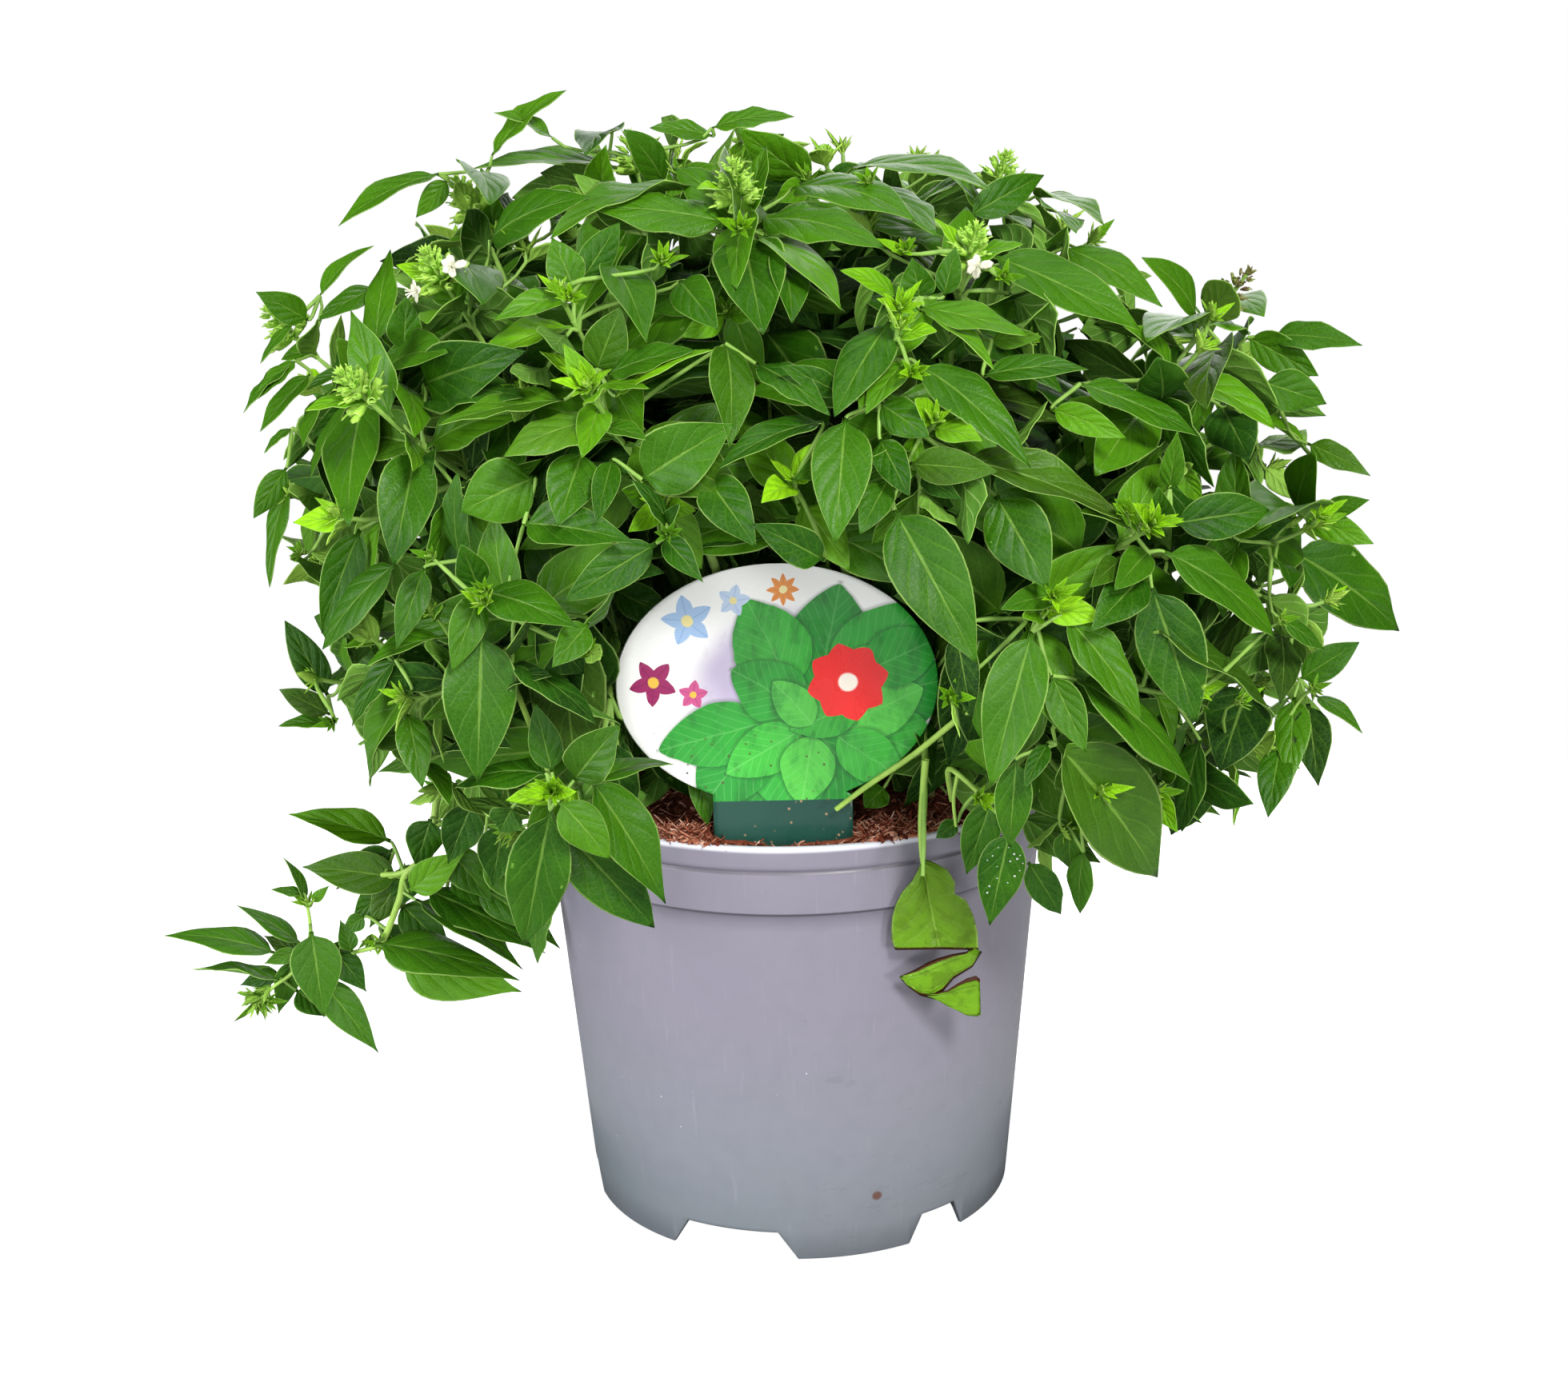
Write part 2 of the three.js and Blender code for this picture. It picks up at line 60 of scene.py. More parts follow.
AXIS_RADIUS = 1.2
ARCH = dict(rise=0.4, arrive=0.38)
BRANCH_STARTS = 0.42
SIDE_STARTS = 0.35
SIDE_LEAF = 0.9
DOME_HEART = np.array([0, 0, 215.0])
TIP_LIFT = 0.55
UP = np.array([0, 0, 1.0])
NEARLY_UP = np.array([0.01, 0, 1.0])
PAIR_FROM_TIP = [5, 14, 27, 44, 64]
PAIR_SCALE = 44
PAIR_SIZE = [0.42, 0.74, 1, 1, 0.9]
PAIR_ANGLE = [32, 55, 72, 84, 92]
LEAFY_SHARE = 0.92
VARY = dict(turn=0.8, roll=0.2, angle=9, length=0.12, width=0.04, curl=0.25, sag=0.2)
USUAL = dict(width=0.48, curl=0.5, sag=0.35)
REACH_WIDTH = 0.42

# Each stem: azimuth on the soil in degrees, distance from the axis, fork height.
STEMS = [
    (-108, 52, 205), (-72, 52, 205), (-36, 54, 190), (0, 54, 190), (36, 54, 190), (72, 54, 190),
    (108, 54, 190), (144, 54, 190), (180, 54, 190), (-144, 54, 190), (-90, 18, 225), (30, 20, 225),
    (150, 20, 225),
]

# Each leafy branch: its stem, leaf length and tips (a fourth value of 1 is a flower spike), then the
# long leaves that it reaches out, as share of the branch and tip.
BRANCHES = [
    dict(stem=0, leaf=42, tips=[(-52, -134, 290), (-34, -130, 258)], reach=[(0.92, -51, -158, 274)]),
    dict(stem=0, leaf=40, tips=[(-62, -106, 314)]),
    dict(stem=1, leaf=44, tips=[(31, -126, 304), (40, -136, 280)], reach=[(0.88, 63, -161, 270)]),
    dict(stem=1, leaf=42, tips=[(2, -130, 264)], reach=[(0.9, 13, -146, 236)]),
    dict(stem=10, leaf=46, tips=[(-13, -84, 340, 1)]),
    dict(stem=9, leaf=42, tips=[(-98, -84, 318, 1)]),
    dict(stem=9, leaf=46, tips=[(-118, -110, 288, 1), (-128, -98, 252)]),
    dict(stem=9, leaf=44, tips=[(-84, -132, 232), (-112, -108, 200)]),
    dict(stem=9, leaf=50, tips=[(-66, -118, 174)], reach=[(0.95, -76, -125, 128), (0.9, -42, -108, 132)]),
    dict(stem=8, leaf=40, tips=[(-154, -34, 300, 1), (-154, -46, 250)],
         reach=[(0.7, -177, 0, 270), (0.8, -172, -12, 292)]),
    dict(stem=8, leaf=40, tips=[(-146, -66, 196)]),
    dict(stem=2, leaf=40, tips=[(52, -102, 322, 1)]),
    dict(stem=2, leaf=42, tips=[(117, -100, 294), (133, -60, 306, 1)]),
    dict(stem=2, leaf=46, tips=[(98, -128, 248)], reach=[(0.95, 130, -142, 222)]),
    dict(stem=2, leaf=46, tips=[(70, -134, 228), (114, -120, 200)]),
    dict(stem=2, leaf=50, tips=[(88, -116, 170), (54, -108, 166)], reach=[(0.9, 103, -125, 147)]),
    dict(stem=3, leaf=44, tips=[(158, -70, 238), (170, -40, 208)], reach=[(0.9, 191, -24, 236)]),
    dict(stem=3, leaf=42, tips=[(160, -20, 272)], reach=[(0.9, 187, -4, 284)]),
    dict(stem=3, leaf=42, tips=[(146, -62, 166)], reach=[(0.75, 151, -30, 123)]),
    dict(stem=3, leaf=44, tips=[(172, 14, 206)], reach=[(0.85, 211, 22, 183), (0.7, 196, 24, 150)]),
    dict(stem=11, leaf=40, tips=[(66, -38, 340, 1), (14, -24, 348), (20, 8, 350)]),
    dict(stem=12, leaf=40, tips=[(-46, -10, 348, 1)]),
    dict(stem=8, leaf=44, tips=[(-98, -16, 336, 1)], reach=[(0.95, -68, 0, 369), (0.9, -136, -20, 330)]),
    dict(stem=4, leaf=44, tips=[(136, 52, 284), (160, 46, 222)]),
    dict(stem=4, leaf=42, tips=[(98, 62, 322)]),
    dict(stem=5, leaf=44, tips=[(66, 124, 288), (88, 122, 232)]),
    dict(stem=11, leaf=42, tips=[(46, 40, 346), (38, 90, 332)]),
    dict(stem=6, leaf=44, tips=[(-14, 138, 284), (6, 142, 226)]),
    dict(stem=12, leaf=42, tips=[(-36, 46, 348), (-48, 96, 326), (-4, 62, 348)]),
    dict(stem=7, leaf=44, tips=[(-96, 108, 288), (-122, 92, 228)]),
    dict(stem=7, leaf=42, tips=[(-112, 46, 322)]),
    dict(stem=8, leaf=42, tips=[(-160, 28, 276), (-164, 32, 214)]),
    dict(stem=6, leaf=44, tips=[(48, 128, 174), (-40, 128, 172)]),
    dict(stem=8, leaf=38, tips=[(-188, -10, 80), (-154, -16, 66), (-166, 4, 116)],
         route=[(-96, -8, 184), (-118, -14, 150)], reach=[(0.95, -215, -10, 92), (0.6, -146, -12, 48)]),
    dict(stem=2, leaf=30, tips=[(38, -95, 138)], route=[(42, -52, 186), (40, -78, 168)], bare=True),
]
TORN_SHOOT = 34
LOOSE_SHOOT = 33

# ---------- the view: the photograph is 1960 pixels wide and 1723 high ----------
PHOTO = (1960, 1723)
FOCAL_PX = 2767
SENSOR = 36
EYE = np.array([0, -724.7, 353.2])
CAMERA_TURN = dict(yaw=-0.21, pitch=-13.96, roll=-1.28)  # degrees


def view_axes(yaw, pitch, roll):
    """The camera's directions to the right, up and forward."""
    yaw, pitch, roll = math.radians(yaw), math.radians(pitch), math.radians(roll)
    forward = np.array([math.sin(yaw) * math.cos(pitch), math.cos(yaw) * math.cos(pitch), math.sin(pitch)])
    level = np.array([math.cos(yaw), -math.sin(yaw), 0])
    upright = np.cross(level, forward)
    return (level * math.cos(roll) + upright * math.sin(roll),
            upright * math.cos(roll) - level * math.sin(roll), forward)


RIGHT, UPWARD, FORWARD = view_axes(**CAMERA_TURN)


def pixel(points):
    """Where points show in the photograph's frame."""
    away = np.asarray(points) - EYE
    depth = away @ FORWARD
    return (PHOTO[0] / 2 + FOCAL_PX * (away @ RIGHT) / depth,
            PHOTO[1] / 2 - FOCAL_PX * (away @ UPWARD) / depth)


# ---------- small tools ----------
def unit(v):
    return v / np.linalg.norm(v)


def polar(azimuth, radius, z):
    a = math.radians(azimuth)
    return np.array([radius * math.cos(a), radius * math.sin(a), z])


def vary(i, j, k):
    """A repeatable number from -1 to 1 for piece i, leaf j and use k."""
    n = math.sin(i * 12.9898 + j * 78.233 + k * 37.719) * 43758.5453
    return 2 * (n - math.floor(n)) - 1


def linear(code):
    """A colour written as six hex digits, as linear RGBA."""
    channels = [int(code[i:i + 2], 16) / 255 for i in (0, 2, 4)]
    return tuple(c / 12.92 if c < 0.04045 else ((c + 0.055) / 1.055) ** 2.4 for c in channels) + (1,)


class Path:
    """A smooth line in space, looked up by share of its length."""

    def __init__(self, points):
        self.points = np.asarray(points, float)
        steps = np.linalg.norm(np.diff(self.points, axis=0), axis=1)
        self.reach = np.concatenate([[0], np.cumsum(steps)])
        self.length = self.reach[-1]

    def at(self, share):
        where = np.clip(share, 0, 1) * self.length
        return np.array([np.interp(where, self.reach, self.points[:, i]) for i in range(3)]).T

    def tangent(self, share):
        step = 0.02
        return unit(self.at(min(share + step, 1)) - self.at(max(share - step, 0)))

    def part(self, start, end, count=17):
        return Path(self.at(np.linspace(start, end, count)))


def bezier(a, b, c, d, count=25):
    t = np.linspace(0, 1, count)[:, None]
    return Path(a * (1 - t) ** 3 + b * 3 * t * (1 - t) ** 2 + c * 3 * t * t * (1 - t) + d * t ** 3)


def through(points, count=12):
    """A centripetal Catmull-Rom line through points."""
    p = [np.asarray(q, float) for q in points]
    p = [2 * p[0] - p[1]] + p + [2 * p[-1] - p[-2]]
    found = [p[1]]
    for i in range(1, len(p) - 2):
        a, b, c, d = p[i - 1:i + 3]
        t1 = np.linalg.norm(b - a) ** 0.5
        t2 = t1 + np.linalg.norm(c - b) ** 0.5
        t3 = t2 + np.linalg.norm(d - c) ** 0.5
        for t in np.linspace(t1, t2, count + 1)[1:]:
            ab = a * (t1 - t) / t1 + b * t / t1
            bc = b * (t2 - t) / (t2 - t1) + c * (t - t1) / (t2 - t1)
            cd = c * (t3 - t) / (t3 - t2) + d * (t - t2) / (t3 - t2)
            abc = ab * (t2 - t) / t2 + bc * t / t2
            bcd = bc * (t3 - t) / (t3 - t1) + cd * (t - t1) / (t3 - t1)
            found.append(abc * (t2 - t) / (t2 - t1) + bcd * (t - t1) / (t2 - t1))
    return Path(found)


class Piece:
    """Gathers grids of faces into one mesh, with leaf coordinates, tints and a flat layout."""

    def __init__(self, name):
        self.name = name
        self.points = []
        self.count = 0
        self.grids = []

    def vertices(self, points):
        points = np.asarray(points, float).reshape(-1, 3)
        first = self.count
        self.points.append(points)
        self.count += len(points)
        return np.arange(first, self.count)

    def grid(self, ids, coordinates, tint, material=0, flip=False):
        """Faces between the rows and columns of ids, whose coordinates are (rows, columns, 2)."""
        corners = [(0, 0), (1, 0), (1, 1), (0, 1)]
        if flip:
            corners.reverse()
        rows, columns = ids.shape
        take = lambda a: np.stack([a[r:rows - 1 + r, c:columns - 1 + c] for r, c in corners], 2)
        faces = take(ids).reshape(-1, 4)
        places = take(coordinates).reshape(-1, 4, 2)
        along, across = np.meshgrid(np.linspace(0, 1, rows), np.linspace(0, 1, columns), indexing="ij")
        flat = take(np.stack([along, across], 2)).reshape(-1, 4, 2)
        self.grids.append((faces, places, tint, material, flat))

    def build(self, materials):
        """The Blender object, in metres, with its faces laid side by side on the OFBake map."""
        columns = max(1, math.ceil(math.sqrt(len(self.grids) / 2)))
        rows = math.ceil(len(self.grids) / columns)
        inset = 0.03
        faces, places, tints, slots, flats = [], [], [], [], []
        for cell, (face, place, tint, material, flat) in enumerate(self.grids):
            corner = np.array([cell % columns, cell // columns])
            flats.append((corner + inset + flat * (1 - 2 * inset)) / (columns, rows))
            faces.append(face)
            places.append(place)
            tints.append(np.broadcast_to(tint, place.shape))
            slots.append(np.full(len(face), material))
        faces = np.concatenate(faces)
        mesh = bpy.data.meshes.new(self.name)
        mesh.vertices.add(self.count)
        mesh.vertices.foreach_set("co", (np.concatenate(self.points) * MM).astype(np.float32).ravel())
        mesh.loops.add(faces.size)
        mesh.loops.foreach_set("vertex_index", faces.astype(np.int32).ravel())
        mesh.polygons.add(len(faces))
        mesh.polygons.foreach_set("loop_start", np.arange(0, faces.size, 4, dtype=np.int32))
        mesh.polygons.foreach_set("material_index", np.concatenate(slots).astype(np.int32))
        mesh.polygons.foreach_set("use_smooth", np.ones(len(faces), bool))
        mesh.update(calc_edges=True)
        for name, values in (("leaf", places), ("tint", tints), ("OFBake", flats)):
            layer = mesh.uv_layers.new(name=name)
            layer.data.foreach_set("uv", np.concatenate(values).astype(np.float32).ravel())
        mesh.validate()
        for material in materials:
            mesh.materials.append(material)
        made = bpy.data.objects.new(self.name, mesh)
        bpy.context.scene.collection.objects.link(made)
        return made


def frames(path_points):
    """Side and lift directions along a line, with as little turning as possible."""
    ahead = np.gradient(path_points, axis=0)
    ahead /= np.linalg.norm(ahead, axis=1)[:, None]
    side = unit(np.cross(ahead[0], NEARLY_UP if abs(ahead[0][2]) < 0.95 else np.array([1.0, 0, 0])))
    sides = []
    for direction in ahead:
        side = unit(side - direction * (side @ direction))
        sides.append(side)
    sides = np.array(sides)
    return sides, np.cross(ahead, sides)


def tube(piece, points, radii, tint, sides=8, material=0, square=0.0):
    """A closed tube; square above 0 flattens it to the four-sided stem of the mint family."""
    points = np.asarray(points, float)
    side, lift = frames(points)
    angles = np.linspace(0, 2 * math.pi, sides, endpoint=False)
    shape = 1 - square * np.cos(4 * angles) ** 2
    ring = np.cos(angles)[None, :, None] * side[:, None] + np.sin(angles)[None, :, None] * lift[:, None]
    skin = points[:, None] + ring * (np.asarray(radii)[:, None] * shape)[:, :, None]
    ids = piece.vertices(skin).reshape(len(points), sides)
    start, end = piece.vertices([points[0], points[-1]])
    ids = np.vstack([np.full(sides, start), ids, np.full(sides, end)])
    ids = np.hstack([ids, ids[:, :1]])
    along = np.concatenate([[0], np.linspace(0, 1, len(points)), [1]])
    around = np.linspace(0, 1, sides + 1)
    coordinates = np.stack(np.meshgrid(along, around, indexing="ij"), 2)
    piece.grid(ids, coordinates, tint, material, flip=True)


# ---------- leaves ----------
LEAF = dict(petiole=0.12, shoulder=0.6, point=1.12, stalk=0.85, thick=0.3, rib=0.5)
FINE_ALONG = np.array([0, .05, .1, .14, .18, .25, .33, .42, .51, .6, .69, .78, .86, .93, 1])
FINE_ACROSS = np.array([-1, -.95, -.7, -.38, -.1, 0, .1, .38, .7, .95, 1])
PLAIN_ALONG = np.array([0, .1, .16, .27, .42, .6, .77, .9, 1])
PLAIN_ACROSS = np.array([-1, -.9, -.45, 0, .45, .9, 1])
TINY_ALONG = np.array([0, .2, .45, .75, 1])
TINY_ACROSS = np.array([-1, -.5, 0, .5, 1])
COARSE_ALONG = np.array([.12, .35, .6, .82, 1])
COARSE_ACROSS = np.array([-.9, 0, .9])
COARSE_FACES = [(3 * r + c, 3 * r + c + 1, 3 * r + c + 4, 3 * r + c + 3) for r in range(4) for c in range(2)]
MIDRIB_STEPS = 16
UNDERSIDE = 4  # what the coordinate across a leaf is raised by on its lower side
TORN = dict(edge=0.945, brown_from=0.905, middle=0.6, depth=-80.5, swell=1.3, thick=0.3, fold=1.5, age=0.52)


def half_width(leaf, along):
    """Half the width at shares of the length: a stalk, then an egg-shaped blade with a drawn-out tip."""
    start, shoulder, point = leaf["petiole"], LEAF["shoulder"], leaf["point"]
    t = np.clip((along - start) / (1 - start), 0, 1)
    widest = shoulder / (shoulder + point)
    shape = t ** shoulder * (1 - t) ** point / (widest ** shoulder * (1 - widest) ** point)
    stalk = min(LEAF["stalk"], leaf["width"] * 0.06) * (1 - 0.85 * along)
    return np.maximum(leaf["width"] / 2 * shape, stalk)


def blade(leaf, along, across):
    """The upper side of a leaf as (rows, columns, 3), and the way its thickness goes from there."""
    s = np.linspace(0, 1, MIDRIB_STEPS + 1)
    ahead = leaf["way"] - leaf["face"] * (leaf["curl"] * s)[:, None] - UP * (leaf["sag"] * s)[:, None]
    ahead /= np.linalg.norm(ahead, axis=1)[:, None]
    middle = np.vstack([np.zeros(3), np.cumsum((ahead[1:] + ahead[:-1]) / 2, axis=0)])
    middle = leaf["base"] + middle * (leaf["length"] / MIDRIB_STEPS)
    pick = lambda a: np.stack([np.interp(along, s, a[:, i]) for i in range(3)], 1)
    middle, ahead = pick(middle), pick(ahead)
    normal = leaf["face"] - ahead * (ahead @ leaf["face"])[:, None]
    normal /= np.linalg.norm(normal, axis=1)[:, None]
    side = np.cross(normal, ahead)
    turn = leaf["twist"] * along[:, None]
    side, normal = (side * np.cos(turn) + normal * np.sin(turn), normal * np.cos(turn) - side * np.sin(turn))
    half = half_width(leaf, along)[:, None]
    x = across[None, :]
    away = np.abs(x)
    ripple = np.sin(2 * math.pi * (along[:, None] * leaf["waves"] + leaf["phase"] + 0.37 * (x > 0)))
    lift = half * (leaf["fold"] * away ** 1.3 - leaf["cup"] * away ** 3 + leaf["wave"] * away ** 3 * ripple)
    spread = half * x * (1 - 0.5 * leaf["fold"] ** 2)
    points = middle[:, None] + side[:, None] * spread[..., None] + normal[:, None] * lift[..., None]
    return points, normal


def add_sheet(piece, top, under, places, tint, material=0):
    """A thin closed sheet: its upper and lower sides share their edges, and under is its thickness."""
    rows, columns = top.shape[:2]
    upper = piece.vertices(top).reshape(rows, columns)
    inner = np.zeros((rows, columns), bool)
    inner[1:-1, 1:-1] = True
    lower = upper.copy()
    lower[inner] = piece.vertices((top - under)[inner])
    piece.grid(upper, places, tint, material)
    piece.grid(lower, places + (0, UNDERSIDE), tint, material, flip=True)


def add_leaf(piece, leaf, along=FINE_ALONG, across=FINE_ACROSS, material=0):
    """A leaf's blade, with a rib along its lower side."""
    top, normal = blade(leaf, along, across)
    near_rib = np.clip(1 - np.abs(across) / 0.35, 0, 1)[None, :]
    rib = LEAF["rib"] * leaf["length"] / PAIR_SCALE * (1 - along[:, None]) ** 0.7
    under = normal[:, None] * (LEAF["thick"] + rib * near_rib)[..., None]
    places = np.stack(np.meshgrid(along, across, indexing="ij"), 2)
    add_sheet(piece, top, under, places, (leaf["chance"], leaf["age"]), material)


def new_leaf(base, way, face, length, seed, **changes):
    """A leaf with the usual fold, cup and waves, and a repeatable difference from the next one."""
    a, b = seed
    leaf = dict(
        base=np.asarray(base, float), way=unit(way), face=unit(face), length=length,
        width=length * (USUAL["width"] + vary(a, b, 5) * VARY["width"]),
        curl=USUAL["curl"] + vary(a, b, 6) * VARY["curl"], sag=USUAL["sag"] + vary(a, b, 7) * VARY["sag"],
        petiole=LEAF["petiole"], point=LEAF["point"] + 0.12 * vary(a, b, 8),
        fold=0.34 + 0.14 * vary(a, b, 9), cup=0.2 + 0.14 * vary(a, b, 10),
        wave=0.1 + 0.06 * vary(a, b, 11), waves=2.2 + 0.8 * vary(a, b, 12), phase=vary(a, b, 13),
        twist=0.22 * vary(a, b, 14), age=0.7, chance=0.5 + 0.5 * vary(a, b, 15), stalk=unit(way))
    leaf.update(changes)
    return leaf


def aimed_leaf(base, tip, face, seed, **changes):
    """A leaf whose tip is at a given point: its way and length are corrected until it gets there."""
    base, tip = np.asarray(base, float), np.asarray(tip, float)
    span = tip - base
    face = unit(face - unit(span) * (face @ unit(span)))
    leaf = new_leaf(base, span, face, np.linalg.norm(span), seed, **changes)
    for _ in range(4):
        found = blade(leaf, np.array([1.0]), np.array([0.0]))[0][0, 0] - base
        leaf["length"] *= np.linalg.norm(span) / np.linalg.norm(found)
        leaf["way"] = unit(leaf["way"] + unit(span) - unit(found))
    return leaf


def shoot_leaves(path, size, seed, pairs, age=0.0):
    """Opposite pairs down a shoot, each pair crossed with the next, older and larger further down."""
    leaves = []
    for pair in pairs:
        back = PAIR_FROM_TIP[pair] * (size / PAIR_SCALE)
        if back > path.length * LEAFY_SHARE:
            continue
        u = 1 - back / path.length
        base, along = path.at(u), path.tangent(u)
        first = unit(np.cross(along, NEARLY_UP))
        second = np.cross(along, first)
        for side in range(2):
            j = pair * 2 + side
            turn = vary(seed, 0, 1) * VARY["turn"] + vary(seed, j, 2) * VARY["roll"]
            roll = turn + pair * math.pi / 2 + side * math.pi
            out = first * math.cos(roll) + second * math.sin(roll)
            angle = math.radians(PAIR_ANGLE[pair] + vary(seed, j, 3) * VARY["angle"])
            length = size * PAIR_SIZE[pair] * (1 + vary(seed, j, 4) * VARY["length"])
            leaves.append(new_leaf(
                base, along * math.cos(angle) + out * math.sin(angle),
                along * math.sin(angle) - out * math.cos(angle), length, (seed, j),
                age=min(1, PAIR_AGE[pair] + age + 0.12 * vary(seed, j, 16)), stalk=along))
    return leaves


STALK_AGE = 0.5
# Lower leaves are older and darker; the same darkening also stands in as painted shade under the dome.
LOW_AGE_AND_SHADE = dict(more=0.2, below=290, over=80)
PAIR_AGE = [0.12, 0.4, 0.7, 0.9, 1]
TUFT = [  # the young leaves in the heart of a shoot: distance from its end, size, angle, count
    (2.6, 0.3, 30, 2), (1.6, 0.2, 22, 2), (0.8, 0.13, 12, 2), (1.2, 0.17, 48, 5), (0.3, 0.09, 24, 3),
]


def tuft(path, size, seed, age=0.0):
    """The bright leaflets that stand round a growing point."""
    leaves = []
    along = path.tangent(1)
    first = unit(np.cross(along, NEARLY_UP))
    second = np.cross(along, first)
    for ring, (back, share, angle, count) in enumerate(TUFT):
        base = path.at(1) - along * back
        for k in range(count):
            roll = 2 * math.pi * k / count + ring * 1.9 + vary(seed, k, ring) * 0.4
            out = first * math.cos(roll) + second * math.sin(roll)
            lean = math.radians(angle + 9 * vary(seed, k, ring + 20))
            length = size * share * (1 + 0.25 * vary(seed, k, ring + 30))
            leaves.append(new_leaf(
                base, along * math.cos(lean) + out * math.sin(lean),
                along * math.sin(lean) - out * math.cos(lean), length, (seed + 0.5, ring * 7 + k),
                width=length * 0.36, fold=0.55, petiole=0.02, curl=0.1, sag=0.0,
                age=age, stalk=along))
    return leaves


# ---------- the dome ----------
DOME = dict(right=160, left=146, y=140, above=132, below=92, power=2.4)


def dome_level(points):
    """1 on the surface of the dome that the shoots' tips make, less inside it."""
    away = np.abs(np.asarray(points, float) - DOME_HEART)
    wide = np.where(np.asarray(points)[..., 0] > 0, DOME["right"], DOME["left"])
    tall = np.where(np.asarray(points)[..., 2] > DOME_HEART[2], DOME["above"], DOME["below"])
    shares = np.stack([away[..., 0] / wide, away[..., 1] / DOME["y"], away[..., 2] / tall], -1)
    return (shares ** DOME["power"]).sum(-1) ** (1 / DOME["power"])


def on_dome(px, py, level):
    """The point where the line of sight through a pixel meets the dome, or passes nearest to it."""
    way = FORWARD + RIGHT * (px - PHOTO[0] / 2) / FOCAL_PX - UPWARD * (py - PHOTO[1] / 2) / FOCAL_PX
    reach = np.arange(500, 820, 1.0)
    points = EYE + way * reach[:, None]
    levels = dome_level(points)
    inside = np.flatnonzero(levels < level)
    return points[inside[0] if len(inside) else levels.argmin()]


def on_depth(px, py, y):
    """The point at depth y on the line of sight through a pixel."""
    way = FORWARD + RIGHT * (px - PHOTO[0] / 2) / FOCAL_PX - UPWARD * (py - PHOTO[1] / 2) / FOCAL_PX
    return EYE + way * (y - EYE[1]) / way[1]


def outwards(point):
    """The way out of the dome at a point."""
    step = 2.0
    rise = [dome_level(point + step * axis) - dome_level(point - step * axis) for axis in np.eye(3)]
    return unit(np.array(rise))


def tip_direction(tip):
    return unit(unit(tip - DOME_HEART) + UP * TIP_LIFT)


def arch(start, rise, tip, way):
    span = np.linalg.norm(tip - start)
    return bezier(start, start + rise * span * ARCH["rise"], tip - way * span * ARCH["arrive"], tip)


# What the photograph shows uncovered, in its pixels: the label, the soil beside it and the pot's front.
LABEL_SEEN = dict(x=970, y=853, wide=203, tall=153)
SOIL_SEEN = (806, 1196, 960, 1066)
POT_SEEN = (690, 1300, 1062, 1600)
IN_FRONT_Y = -70


def hides_made_parts(points):
    """True where a point stands between the viewer and the label, the soil beside it or the pot."""
    px, py = pixel(points)
    label_x = (px - LABEL_SEEN["x"]) / LABEL_SEEN["wide"]
    label_y = (py - LABEL_SEEN["y"]) / LABEL_SEEN["tall"]
    inside = label_x ** 2 + label_y ** 2 < 1
    for left, right, top, bottom in (SOIL_SEEN, POT_SEEN):
        inside = inside | ((px > left) & (px < right) & (py > top) & (py < bottom))
    return (inside & (points[:, 1] < IN_FRONT_Y)).any()


# The plant's outline in the photograph, drawn a little inside the tips of its outermost leaves.
OUTLINE = np.array([
    (335, 520), (350, 440), (400, 340), (470, 295), (560, 215), (640, 170), (720, 135), (800, 145),
    (900, 135), (1000, 155), (1090, 205), (1180, 205), (1260, 215), (1330, 275), (1420, 335), (1540, 345),
    (1590, 400), (1670, 430), (1650, 500), (1690, 585), (1680, 660), (1735, 780), (1680, 850), (1680, 900),
    (1640, 975), (1580, 1035), (1500, 1045), (1440, 1080), (1350, 1100), (1300, 1125), (1240, 1130),
    (1150, 1060), (840, 1060), (820, 1120), (700, 1130), (660, 1160), (600, 1060), (540, 1050), (500, 1000),
    (460, 975), (440, 915), (370, 880), (400, 800), (345, 725),
])


def leaves_outline(points):
    """True where a point shows outside the plant's outline."""
    px, py = pixel(points)
    x1, y1 = OUTLINE.T
    x2, y2 = np.roll(OUTLINE, -1, axis=0).T
    over = (y1 > py[:, None]) != (y2 > py[:, None])
    cross = (x2 - x1) * (py[:, None] - y1) / (y2 - y1 + 1e-9) + x1
    inside = (over & (px[:, None] < cross)).sum(1) % 2 == 1
    return not inside.all()


def in_pot(points, margin=1.2):
    """True where a point is inside the pot or in its wall, up to the top of the rim."""
    radius = np.hypot(points[:, 0], points[:, 1])
    return ((radius < POT["rim"] + margin) & (points[:, 2] < POT["height"] + margin)).any()


